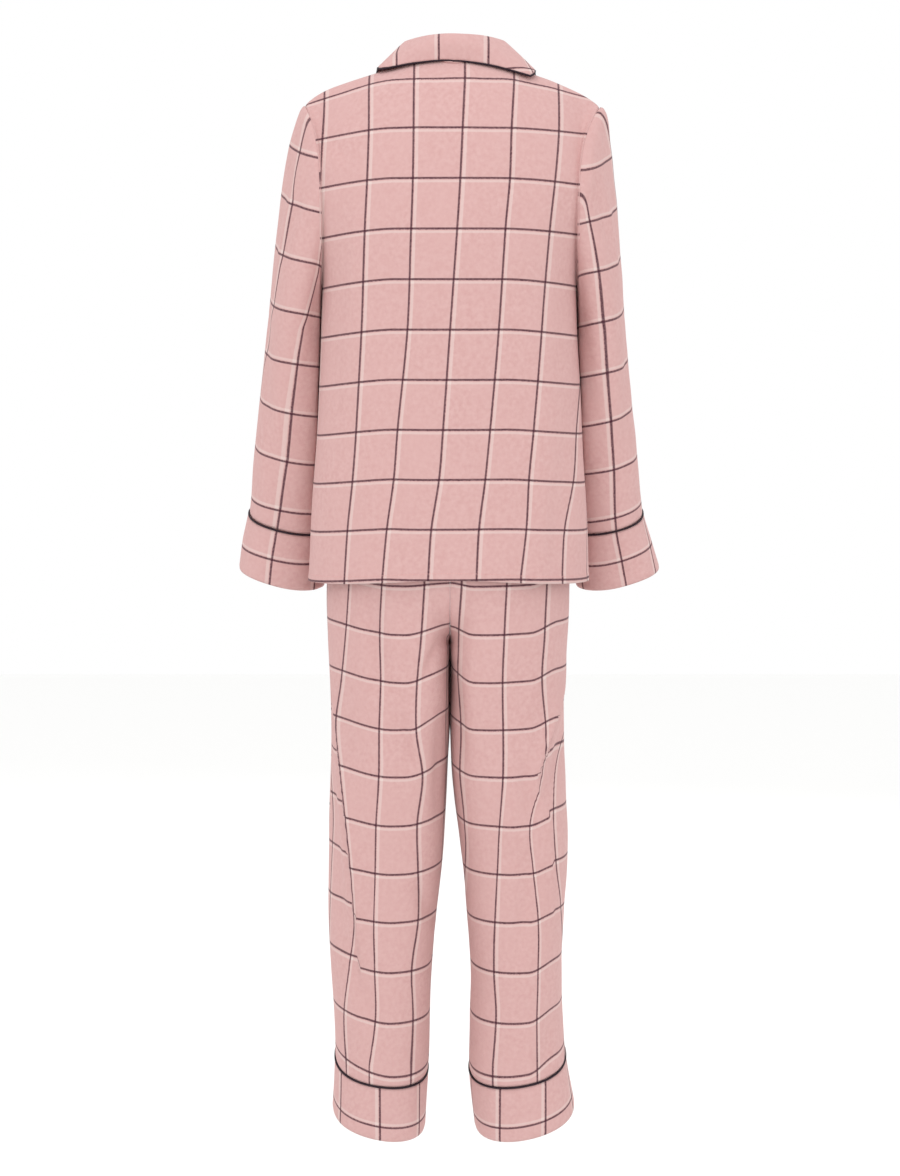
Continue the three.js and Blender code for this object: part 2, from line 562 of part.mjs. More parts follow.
// Piping round a tube of cloth, at one height of it. surface is read at (turn, level).
function ringPiping(surface, turns, level, step) {
  return piping(
    turns.map((turn) => {
      const middle = surface(turn, level);
      const out = surface(turn, level + step).sub(middle).normalize();
      const along = surface(turn + 1e-3, level).sub(surface(turn - 1e-3, level));
      const normal = along.cross(out).normalize();
      return { middle, out, normal };
    }),
    true,
  );
}

// The sleeves

const BODY_CLEARANCE = 2.6; // between the hanging sleeve and the shirt's side

// Keeps a sleeve outside the body's side, which it would otherwise pass into.
function besideBody(side, point, clearance) {
  if (point.z > UNDERARM_Z) return point;
  const depth = read(BODY_SECTIONS, point.y > 0 ? "back" : "front", point.z);
  const width = read(BODY_SECTIONS, side > 0 ? "left" : "right", point.z);
  const share = max(0, 1 - pow(abs(point.y) / depth, ROUNDNESS));
  const least = width * pow(share, 1 / ROUNDNESS) + clearance;
  if (side * point.x < least) point.x = side * least;
  return point;
}

// The armhole's loop at a place round it: 0 at the shoulder's tip, 0.25 at the back, 0.5 at the underarm.
function armhole(side, turn) {
  const angle = 2 * PI * turn;
  const face = sin(angle) >= 0 ? 1 : -1;
  return bodyForm(face, side, (1 + cos(angle)) / 2);
}

// The ring across the arm with its middle at height z.
function armRing(side, turn, z) {
  const angle = 2 * PI * turn;
  const get = (column) => read(ARM_SECTIONS, column, z);
  const [outer, inner] = [get(side > 0 ? "left" : "right"), get("inner")];
  const [back, front] = [get("back"), get("front")];
  const radius = reach((back - front) / 2, (outer - inner) / 2, angle);
  return new THREE.Vector3(
    side * ((outer + inner) / 2 + radius * cos(angle)),
    (back + front) / 2 + radius * sin(angle),
    z + get("rise") * cos(angle) - get("drop") * sin(angle),
  );
}

// A point of a sleeve's form. turn goes once round it, and level is 0 at the armhole, 1 at the first ring
// across the arm and 2 at the cuff's edge.
function sleeveForm(side, turn, level) {
  if (level >= 1) {
    const z = lerp(SLEEVE_RING_Z, SLEEVE_END_Z, level - 1);
    return besideBody(side, armRing(side, turn, z), BODY_CLEARANCE);
  }
  const from = armhole(side, turn);
  const to = besideBody(side, armRing(side, turn, SLEEVE_RING_Z), BODY_CLEARANCE);
  // The sleeve's head swells out before it falls.
  const out = pow(level, lerp(side > 0 ? 0.66 : 0.44, 0.55, smoothstep(level, 0, 0.2)));
  const point = from.clone().lerp(to, level);
  point.x = lerp(from.x, to.x, out) + side * SEAM_GAP;
  return besideBody(side, point, lerp(SEAM_GAP, BODY_CLEARANCE, smoothstep(level, 0, 0.3)));
}

const SLEEVE_LIMITS = { u: [-1, 2], v: [0, 2] };
const sleeveLevel = (z) => 1 + (z - SLEEVE_RING_Z) / (SLEEVE_END_Z - SLEEVE_RING_Z);
const PIPING_LEVEL = sleeveLevel(SLEEVE_PIPING_Z);

// The sleeve with its folds, which stay clear of the armhole's seam.
function sleeveCloth(side, turn, level) {
  const stretch = 0.35;
  const height = (_, u, v) =>
    SLEEVE_FOLDS.reduce(
      (sum, f) => sum + foldHeight(f, u, v, [f.turn1, f.level1], [f.turn2, f.level2], stretch),
      0,
    ) * smoothstep(v, 0, 0.15);
  const point = raised((u, v) => sleeveForm(side, u, v), SLEEVE_LIMITS, -side, height)(turn, level);
  return besideBody(side, point, lerp(SEAM_GAP, 0.7 * BODY_CLEARANCE, smoothstep(level, 0, 0.3)));
}

const ROUND = evenly(0, 1, 20).slice(0, -1);

function sleeve(side) {
  const end = sleeveLevel(SLEEVE_PIPING_Z + PIPING_RADIUS + SEAM_GAP);
  const levels = [...crowdedLast(1, 0, 7).toReversed().slice(0, -1), ...evenly(1, end, 6)];
  const surface = (turn, level) => sleeveCloth(side, turn, level);
  // At the armhole the rim's thickness turns away from the body's own rim.
  const inward = (turn, level, own) => {
    const direction = own(turn, level);
    if (level === 0 && side * direction.x < RIM_LEAN) direction.setX(RIM_LEAN * side).normalize();
    return direction;
  };
  return wall(surface, ROUND, levels, { facing: -side, closed: true, limits: SLEEVE_LIMITS, inward });
}

const CUFF_SWELL = 0.5; // the doubled cuff stands this much proud of the sleeve

function sleeveCuff(side) {
  const start = sleeveLevel(SLEEVE_PIPING_Z - PIPING_RADIUS - SEAM_GAP);
  const swollen = raised((u, v) => sleeveCloth(side, u, v), SLEEVE_LIMITS, -side, () => CUFF_SWELL);
  const options = { facing: -side, thickness: DOUBLE_CLOTH, closed: true, limits: SLEEVE_LIMITS };
  return wall(swollen, ROUND, evenly(start, 2, 3), options);
}

function sleevePiping(side) {
  return ringPiping((turn, level) => sleeveCloth(side, turn, level), ROUND, PIPING_LEVEL, 0.01);
}

// The trousers

const THIGH_Z = -1020; // where the leg's outer half starts to take the trunk's shape
const SEAT_GAP = HALF_GAP + 0.05; // from the middle to each side of the seat seam

// A point of the trousers' form. turn goes once round a leg: 0 at the outside seam, 0.25 at the back, 0.5 at
// the inside seam and 0.75 at the front. Above the crotch a half leg opens out into a quarter of the trunk,
// so that the inside seam becomes the seat seam.
function legForm(side, turn, z) {
  const angle = 2 * PI * turn;
  const face = turn <= 0.5 ? 1 : -1;
  const width = side > 0 ? "left" : "right";
  const get = (column) => read(LEG_SECTIONS, column, min(z, CROTCH_Z));
  const hang = (column) => read(LEG_HANG, column, min(z, CROTCH_Z));
  const [outer, inner] = [get(width), get(side > 0 ? "inLeft" : "inRight")];
  const [back, front] = [get("back"), get("front")];
  const roundness = lerp(ROUNDNESS, hang("square"), smoothstep(-cos(angle), -0.3, 0.5));
  const radius = reach(face > 0 ? back : -front, (outer - inner) / 2, angle, roundness);
  const leg = new THREE.Vector3(
    (outer + inner) / 2 + radius * cos(angle),
    radius * sin(angle),
    z + hang("rise") * cos(angle) - hang("drop") * sin(angle),
  );
  // The trunk's own angle, at which it is about as far across as the leg is
  const quarter = lerp(Math.acos((1 + cos(angle)) / 2), face > 0 ? angle / 2 : PI - angle / 2, 0.2);
  const above = z > CROTCH_Z;
  const [trunkWidth, trunkDepth] = above
    ? [read(TRUNK_SECTIONS, width, z), read(TRUNK_SECTIONS, face > 0 ? "back" : "front", z)]
    : [outer, face * (face > 0 ? back : front)];
  const trunk = reach(trunkDepth, trunkWidth, quarter) + gatherAt(turn, z);
  // The thigh's outer half has the trunk's shape already, and its inner half opens along the seat seam.
  const joined = smoothstep(z, THIGH_Z, CROTCH_Z) * (1 - smoothstep(-cos(angle), -0.2, 1));
  const rise = clamp((z - CROTCH_Z) / SEAT_CURVE_HEIGHT, 0, 1);
  const seamward = (1 - cos(angle)) / 2;
  const open = lerp(joined, 1, pow(1 - (1 - rise) ** 2, lerp(1.6, 0.5, seamward * seamward)));
  leg.x = lerp(leg.x, trunk * cos(quarter), open);
  leg.y = lerp(leg.y, face * trunk * sin(quarter), open);
  leg.x = side * (leg.x + SEAT_GAP);
  return leg;
}

// The elastic waist's gathers, which fade out below it. turn is as in legForm.
function gatherAt(turn, z) {
  const fade = 1 - smoothstep(WAIST_Z - z, 0, WAISTBAND.fade);
  if (fade === 0) return 0;
  return WAISTBAND.gatherDepth * fade * cos(PI * WAISTBAND.gathers * turn);
}

const LEG_LIMITS = {
  back: { u: [0, 0.5], v: [LEG_END_Z, WAIST_Z] },
  front: { u: [0.5, 1], v: [LEG_END_Z, WAIST_Z] },
};
const LEG_STEP = 0.0006; // half a seam's gap, as a share of a turn

// The trousers with their folds, which fade out towards the seams between back and front.
function legCloth(side, turn, z) {
  const back = turn <= 0.5;
  const folds = back ? TROUSER_BACK_FOLDS : TROUSER_FRONT_FOLDS;
  const limits = back ? LEG_LIMITS.back : LEG_LIMITS.front;
  const toSeam = min(abs(turn - (back ? 0 : 1)), abs(turn - 0.5)) * 2;
  const fade = smoothstep(toSeam, 0, 0.12);
  const form = (u, v) => legForm(side, u, v);
  const point = raised(form, limits, side, (p) => foldsAt(folds, p.x, p.z) * fade)(turn, z);
  return point.setX(side * max(side * point.x, SEAT_GAP));
}

function legPanel(side, which) {
  const limits = LEG_LIMITS[which];
  const bottom = LEG_PIPING_Z + PIPING_RADIUS + SEAM_GAP;
  const seat = CROTCH_Z + SEAT_CURVE_HEIGHT;
  const rows = which === "back" ? [15, 5, 4] : [12, 5, 4];
  const heights = [
    ...evenly(bottom, CROTCH_Z, rows[0]).slice(0, -1),
    ...crowdedLast(seat, CROTCH_Z, rows[1]).toReversed().slice(0, -1),
    ...evenly(seat, WAIST_Z, rows[2]),
  ];
  const turns = evenly(limits.u[0] + LEG_STEP, limits.u[1] - LEG_STEP, which === "back" ? 14 : 12);
  // The rims lie in the planes of the side, inside and seat seams, and flat under the waistband.
  const inward = (turn, z, own) => {
    const direction = own(turn, z);
    if (turn === turns[0] || turn === turns.at(-1)) {
      const inside = abs(turn - 0.5) < 0.1;
      if (inside && z <= CROTCH_Z) return direction.set(side, 0, 0);
      if (inside) direction.setX(0);
      else direction.setY(0);
    }
    if (z === WAIST_Z) direction.setZ(0);
    return direction.normalize();
  };
  return wall((turn, z) => legCloth(side, turn, z), turns, heights, { facing: side, limits, inward });
}

const LEG_ROUND = evenly(0, 1, 24).slice(0, -1);

// A leg's ring below the knee, where the turn may be read past either end.
const legRing = (side, turn, z) => legCloth(side, ((turn % 1) + 1) % 1, z);

function legCuff(side) {
  const limits = { u: [-1, 2], v: [LEG_END_Z - 1, WAIST_Z] };
  const swollen = raised((u, v) => legRing(side, u, v), limits, side, () => CUFF_SWELL);
  const start = LEG_PIPING_Z - PIPING_RADIUS - SEAM_GAP;
  const options = { facing: side, thickness: DOUBLE_CLOTH, closed: true, limits };
  return wall(swollen, LEG_ROUND, evenly(LEG_END_Z, start, 3), options);
}

const legPiping = (side) => ringPiping((turn, z) => legRing(side, turn, z), LEG_ROUND, LEG_PIPING_Z, 1);

// The waistband, once round the waist from the left side.
function waistband() {
  const surface = (turn, z) => {
    const angle = 2 * PI * turn;
    const depth = read(TRUNK_SECTIONS, sin(angle) > 0 ? "back" : "front", z);
    const width = read(TRUNK_SECTIONS, cos(angle) > 0 ? "left" : "right", z);
    const gathers = WAISTBAND.gatherDepth * cos(2 * PI * WAISTBAND.gathers * turn);
    const radius = reach(depth, width, angle) + gathers;
    return new THREE.Vector3(radius * cos(angle), radius * sin(angle), z);
  };
  const limits = { u: [-1, 2], v: [WAIST_Z, WAISTBAND.top] };
  const heights = evenly(WAIST_Z + SEAM_GAP, WAISTBAND.top, 2);
  const inward = (turn, z, own) => own(turn, z).setZ(0).normalize();
  const options = { facing: 1, thickness: DOUBLE_CLOTH, closed: true, limits, inward };
  return wall(surface, evenly(0, 1, 48).slice(0, -1), heights, options);
}

// The buttons

// A round button with a raised rim, on the right front where it laps over the left.
function button(index) {
  const { radius, thickness, rim, edge, dish } = BUTTON;
  const profile = [
    [0, 0],
    [radius - edge, 0],
    [radius, edge],
    [radius, thickness - edge],
    [radius - edge, thickness],
    [radius - rim, thickness],
    [radius - rim - dish, thickness - dish],
    [0, thickness - dish],
  ];
  const geometry = new THREE.LatheGeometry(profile.map(([r, y]) => new THREE.Vector2(r, y)), 14);
  const z = BUTTONS.first - index * BUTTONS.spacing;
  const height = z > UNDERARM_Z ? -UNDERARM_Z : UNDERARM_Z - HEM_Z.front;
  const level = (z - UNDERARM_Z) / height;
  const surface = (s, v) => frontCloth(SIDES.right, s, v);
  const normal = squareTo(surface, 0, level, { u: [-1, 1], v: [-1, 1] }).multiplyScalar(SIDES.right);
  const mesh = new THREE.Mesh(geometry);
  mesh.position.copy(surface(0, level)).addScaledVector(normal, SEAM_GAP);
  mesh.quaternion.setFromUnitVectors(new THREE.Vector3(0, 1, 0), normal);
  return mesh;
}

// The set

const set = new THREE.Group();

function add(name, geometry, finish) {
  const mesh = geometry.isMesh ? geometry : new THREE.Mesh(geometry);
  mesh.material = new THREE.MeshStandardMaterial(finish);
  mesh.name = name;
  set.add(mesh);
}

add("shirt_back", shirtBack(), flannel);
add("collar", collar(), flannel);
add("collar_piping", collarPiping(), cord);
add("waistband", waistband(), flannel);
for (const [name, side] of Object.entries(SIDES)) {
  add(`shirt_front_${name}`, shirtFront(side), flannel);
  add(`lapel_${name}`, lapel(side), flannel);
  add(`sleeve_${name}`, sleeve(side), flannel);
  add(`sleeve_cuff_${name}`, sleeveCuff(side), flannel);
  add(`sleeve_piping_${name}`, sleevePiping(side), cord);
  add(`leg_back_${name}`, legPanel(side, "back"), flannel);
  add(`leg_front_${name}`, legPanel(side, "front"), flannel);
  add(`leg_cuff_${name}`, legCuff(side), flannel);
  add(`leg_piping_${name}`, legPiping(side), cord);
}
for (let i = 0; i < BUTTONS.count; i++) add(`button_${i + 1}`, button(i), shell);

export default set;
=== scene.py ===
"""A pyjama set of pink check flannel, filled out as if worn and seen from behind."""

import math

import bmesh
import bpy
import numpy as np
from mathutils import Matrix, Vector


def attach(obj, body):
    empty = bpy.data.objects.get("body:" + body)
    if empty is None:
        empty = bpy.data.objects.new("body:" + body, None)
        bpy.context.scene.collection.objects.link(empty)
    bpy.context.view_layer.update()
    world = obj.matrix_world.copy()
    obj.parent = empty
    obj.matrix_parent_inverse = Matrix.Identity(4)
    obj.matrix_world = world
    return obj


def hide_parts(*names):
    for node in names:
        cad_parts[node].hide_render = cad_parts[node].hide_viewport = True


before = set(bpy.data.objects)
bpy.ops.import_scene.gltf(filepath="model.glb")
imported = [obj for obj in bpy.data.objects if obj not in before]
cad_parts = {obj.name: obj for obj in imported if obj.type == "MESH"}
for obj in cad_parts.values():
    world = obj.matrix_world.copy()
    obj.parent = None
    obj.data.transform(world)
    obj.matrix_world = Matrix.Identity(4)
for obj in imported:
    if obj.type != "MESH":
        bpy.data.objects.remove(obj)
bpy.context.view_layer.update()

# The camera stands 3.3 m behind the set and a little above its middle, and looks down on it by 7 degrees, so
# that the set fills the height of the picture as it does in the photograph.
MIDDLE = Vector((0, 0, -0.684))
DISTANCE = 3.3
TILT = math.radians(7)
METRES_HIGH = 1.564
camera_data = bpy.data.cameras.new("camera")
camera_data.lens = camera_data.sensor_width * DISTANCE / METRES_HIGH
camera = bpy.data.objects.new("camera", camera_data)
camera.location = MIDDLE + DISTANCE * Vector((0, math.cos(TILT), math.sin(TILT)))
camera.rotation_euler = (MIDDLE - camera.location).to_track_quat("-Z", "Y").to_euler()
bpy.context.scene.collection.objects.link(camera)
bpy.context.scene.camera = camera

# The shirt's back is one piece of brushed cotton flannel, cut straight from the neck and shoulders to the
# hem. It takes the wearer's shape in soft vertical folds. All sizes are in millimetres up to where a mesh is
# made.
NECK = {"centre_x": -6, "half_width": 66, "back_y": 56, "share": 0.4}
SHOULDER = {"seam_y": 4, "tip_y": -2, "peak": 19, "peak_power": 1.7, "bend_power": 8}
TIP_X = {"left": 189, "right": -195}
TIP_DROP = {"left": 52, "right": 54}
STRAIGHT_DROP = {"left": 0.745, "right": 0.8}
UNDERARM_Z = -290
HEM_Z = {"side": -671, "back": -659, "front": -664}
NECK_CUT = {"share": 0.8, "power": 6}
ARMHOLE_DEPTH = 66
ARMHOLE_TUCK = 3
ROUNDNESS = 2.3
DEPTH_POWER = 2.3
HALF_GAP = 0.15
CHECK = 63.4

BODY_SECTIONS = {
    "z": [-671, -567, -474, -370, -290],
    "left": [188, 182, 175, 170, 167],
    "right": [184, 180, 174, 168, 166],
    "back": [129, 125, 121, 119, 119],
    "front": [128, 125, 123, 121, 119],
}

# Folds as x1, z1, x2, z2, width and height: each runs from (x1, z1) to (x2, z2), fades over its width, and
# stands out or sinks in by its height
BACK_FOLDS = [
    (142, -150, 150, -440, 17, -3.4),
    (122, -180, 112, -600, 24, 2.4),
    (-148, -170, -150, -430, 15, -3.2),
    (-122, -330, -112, -670, 20, 3),
    (-158, -430, -134, -670, 14, -2.6),
    (20, -420, 58, -690, 26, 2.8),
    (60, -470, 96, -690, 20, -2.2),
    (-40, -500, -56, -690, 24, -2.4),
    (158, -95, 128, -128, 12, -2.6),
]


def smooth(value, low, high):
    """0 below low, 1 above high, and an even curve between them."""
    share = np.clip((value - low) / (high - low), 0, 1)
    return share * share * (3 - 2 * share)


def mix(a, b, share):
    return a + (b - a) * share


def read(sections, column, z):
    """A column of a table of sections at any heights, on a smooth curve through its rows."""
    heights = np.array(sections["z"], float)
    values = np.array(sections[column], float)
    before = np.maximum(np.arange(len(values)) - 1, 0)
    after = np.minimum(np.arange(len(values)) + 1, len(values) - 1)
    slopes = (values[after] - values[before]) / (heights[after] - heights[before])
    low = np.clip(np.searchsorted(heights, z, side="right") - 1, 0, len(values) - 2)
    span = heights[low + 1] - heights[low]
    share = np.clip((z - heights[low]) / span, 0, 1)
    square, cube = share**2, share**3
    bend = slopes[low] * (cube - 2 * square + share) + slopes[low + 1] * (cube - square)
    return mix(values[low], values[low + 1], 3 * square - 2 * cube) + span * bend


def reach(width, depth, angle, roundness=ROUNDNESS):
    """From the middle of a rounded section to its edge, at an angle from the depth's direction."""
    across = np.abs(np.sin(angle)) / width
    along = np.abs(np.cos(angle)) / depth
    return (across**roundness + along**roundness) ** (-1 / roundness)


def fold_height(u, v, u1, v1, u2, v2, width, height, stretch=1):
    """How far one fold moves the cloth at (u, v)."""
    du, dv = u2 - u1, (v2 - v1) * stretch
    share = ((u - u1) * du + (v - v1) * stretch * dv) / (du**2 + dv**2)
    nearest = np.clip(share, 0, 1)
    away = np.hypot(u - u1 - nearest * du, (v - v1) * stretch - nearest * dv) / width
    along = np.sin(math.pi * np.clip(mix(0.08, 0.92, share), 0, 1)) ** 0.8
    return height * along * np.exp(-(away**2))


def all_folds(folds, u, v, stretch=1):
    return sum(fold_height(u, v, *fold, stretch=stretch) for fold in folds)


def square_to(surface, u, v, limits):
    """The direction square to a surface, from two short steps that stay within its limits."""
    step = 1e-3
    (u_low, u_high), (v_low, v_high) = limits
    across = surface(np.minimum(u + step, u_high), v) - surface(np.maximum(u - step, u_low), v)
    along = surface(u, np.minimum(v + step, v_high)) - surface(u, np.maximum(v - step, v_low))
    normal = np.cross(across, along)
    return normal / np.linalg.norm(normal, axis=-1, keepdims=True)


def by_side(s, sides):
    """The left or the right value, by the sign of s."""
    return np.where(s < 0, sides["right"], sides["left"]).astype(float)


def shoulder_line(s):
    """The line over the shoulders: s is 0 at the centre, 1 at the left tip and -1 at the right."""
    share = np.abs(s)
    tip_x, straight = by_side(s, TIP_X), by_side(s, STRAIGHT_DROP)
    neck_power = np.log(NECK["half_width"] / np.abs(tip_x - NECK["centre_x"])) / math.log(NECK["share"])
    along = np.maximum(0, (share - NECK["share"]) / (1 - NECK["share"]))
    fall = by_side(s, TIP_DROP) * (straight * along + (1 - straight) * along ** SHOULDER["bend_power"])
    peak = SHOULDER["peak"] * (1 - np.minimum(1, share / NECK["share"]) ** SHOULDER["peak_power"])
    return (
        mix(NECK["centre_x"], tip_x, share**neck_power),
        mix(SHOULDER["seam_y"], SHOULDER["tip_y"], along),
        peak - fall,
    )


def body_form(face, s, level):
    """The shirt's form. level is -1 at the hem, 0 at the underarm and 1 at the shoulder line."""
    s, level = np.broadcast_arrays(np.asarray(s, float), np.asarray(level, float))
    angle = s * math.pi / 2
    depth_column = "back" if face > 0 else "front"
    hem = mix(HEM_Z["side"], HEM_Z[depth_column], np.cos(angle) ** 2)
    z = mix(hem, UNDERARM_Z, np.minimum(level, 0) + 1)
    width = np.where(s < 0, read(BODY_SECTIONS, "right", z), read(BODY_SECTIONS, "left", z))
    radius = reach(width, read(BODY_SECTIONS, depth_column, z), angle)
    below_x, below_y = radius * np.sin(angle), face * radius * np.cos(angle)
    up = np.maximum(level, 0)
    top_x, top_y, top_z = shoulder_line(s)
    edge = np.abs(s) ** 5
    bow = np.clip(4 * up * (1 - up), 0, 1) ** mix(2, 0.6, edge**2)
    tuck = ARMHOLE_TUCK * edge * np.sin(math.pi * up) * np.where(s < 0, -1, 1)
    rise = np.where(up > 0, np.maximum(up, 1e-9) ** mix(2, 6, np.abs(s) ** 3), 0)
    depth = np.maximum(0, 1 - up**DEPTH_POWER) ** (1 / DEPTH_POWER)
    return np.stack(
        [
            mix(below_x, top_x, rise) - tuck,
            top_y * (1 - depth) + below_y * depth + face * ARMHOLE_DEPTH * edge * bow,
            np.where(up > 0, mix(UNDERARM_Z, top_z, up), z),
        ],
        axis=-1,
    )


BODY_LIMITS = ((-1, 1), (-1, 1))


def body_cloth(face, folds, s, level, lift=0):
    """The shirt's form with its folds, moved out by lift."""
    s, level = np.broadcast_arrays(np.asarray(s, float), np.asarray(level, float))
    point = body_form(face, s, level)
    normal = -face * square_to(lambda a, b: body_form(face, a, b), s, level, BODY_LIMITS)
    fade = (1 - np.abs(s) ** 8) * (1 - smooth(level, 0.75, 1))
    height = all_folds(folds, point[..., 0], point[..., 2]) * fade + lift
    return point + normal * height[..., None]


def neck_level(s):
    """The level at which the back's neck is cut out."""
    line = SHOULDER["seam_y"]
    share = np.minimum(np.abs(s) / NECK["share"], 1)
    neck_y = mix(line, NECK["back_y"], np.cos(share * math.pi / 2))
    depth = body_form(1, s, 0)[..., 1]
    level = (1 - np.clip((neck_y - line) / (depth - line), 0, 1) ** DEPTH_POWER) ** (1 / DEPTH_POWER)
    return np.where(share >= 1, 1, level)


def rows_up(t):
    """From the hem's level to the shoulder's, closest together at the top."""
    upper = np.sin(np.clip(2 * t - 1, 0, 1) * math.pi / 2)
    return np.where(t < 0.5, 2 * t - 1, upper)


def arc_along(points, axis):
    """The length of cloth from the first point of each row or column of a grid."""
    steps = np.linalg.norm(np.diff(points, axis=axis), axis=-1)
    start = np.zeros_like(np.take(steps, [0], axis=axis))
    return np.concatenate([start, np.cumsum(steps, axis=axis)], axis=axis)


def relief(points, height, outward):
    """A grid of points moved square to itself."""
    normal = np.cross(np.gradient(points, axis=0), np.gradient(points, axis=1))
    normal /= np.linalg.norm(normal, axis=-1, keepdims=True)
    return points + outward * normal * height[..., None]


WAVES = {"count": 9, "shortest": 38, "longest": 150, "upright": 0.55}


def uneven(points, seed, height=0.5):
    """The slight unevenness of worn cloth, from a few long soft waves."""
    draw = np.random.default_rng(seed)
    total = np.zeros(points.shape[:-1])
    for _ in range(WAVES["count"]):
        direction = draw.normal(size=3) * [1, 1, WAVES["upright"]]
        direction /= np.linalg.norm(direction)
        wave = 2 * math.pi / draw.uniform(WAVES["shortest"], WAVES["longest"])
        total += np.sin(points @ direction * wave + draw.uniform(0, 6.3)) / 3
    return height * total


def seam_dip(distance, depth=0.9, width=2.4):
    """A sewn seam draws the cloth in along its edge."""
    return -depth * np.exp(-((distance / width) ** 2))


def linear(hex_colour):
    """A colour of the sRGB scale as the linear values that nodes take."""
    channels = [int(hex_colour[i : i + 2], 16) / 255 for i in (1, 3, 5)]
    return [c / 12.92 if c <= 0.04045 else ((c + 0.055) / 1.055) ** 2.4 for c in channels] + [1]


def set_sockets(tree, node, sockets):
    """Links a node's sockets or sets their values."""
    for socket, value in sockets.items():
        if isinstance(value, bpy.types.NodeSocket):
            tree.links.new(value, node.inputs[socket])
        else:
            node.inputs[socket].default_value = value


def add_node(tree, kind, sockets=None, **settings):
    """Adds a node, with its settings and with its sockets linked or set."""
    node = tree.nodes.new(kind)
    for setting, value in settings.items():
        setattr(node, setting, value)
    set_sockets(tree, node, sockets or {})
    return node


def new_material(name):
    """A material, with its node tree and its shader."""
    material = bpy.data.materials.new(name)
    material.use_nodes = True
    return material, material.node_tree, material.node_tree.nodes["Principled BSDF"]


def set_stops(ramp, stops):
    """Gives a colour ramp its stops, each a place and a colour."""
    for place, colour in stops[2:]:
        ramp.elements.new(place).color = colour
    for element, (place, colour) in zip(list(ramp.elements)[:1] + list(ramp.elements)[-1:], stops[:2]):
        element.position = place
        element.color = colour


# Brushed cotton flannel: a soft twill whose raised nap scatters the light, so it has no gloss, its colour is
# mottled, and the woven lines of the check have fuzzy, broken edges and are darkest where they cross.
PINK = "#cfa6a3"
PALE_PINK = "#d4aeab"
DEEP_PINK = "#c89b98"
OFF_WHITE = "#dcc6c1"
PLUM = "#45202f"
WHITE_SHARE = 0.54
UPRIGHT_STRIPE = {"width": 2.8, "pale_from": 2.4, "pale_to": 6.5}
LEVEL_STRIPE = {"width": 2.7, "pale_from": 2.6, "pale_to": 5.6}
LINE_SOFTNESS = 0.35
LINE_WANDER = 0.016
TWILL_RIB = 1.3
# Blender's wave texture draws about this many bands in a unit
WAVE_BANDS = 3.14


def stripe_stops(width, pale_from, pale_to):
    """A ramp across one repeat of the check: red where it is plum, green where it is off-white."""
    none, plum, pale = (0, 0, 0, 1), (1, 0, 0, 1), (0, 1, 0, 1)
    soft = LINE_SOFTNESS / CHECK
    half = width / 2 / CHECK
    near, far = 0.5 - pale_from / CHECK, 0.5 - pale_to / CHECK
    edges = [(far, none, pale), (near, pale, none), (0.5 - half, none, plum), (0.5 + half, plum, none)]
    stops = [(0, none), (1, none)]
    for place, before, after in edges:
        stops += [(place - soft, before), (place + soft, after)]
    return stops


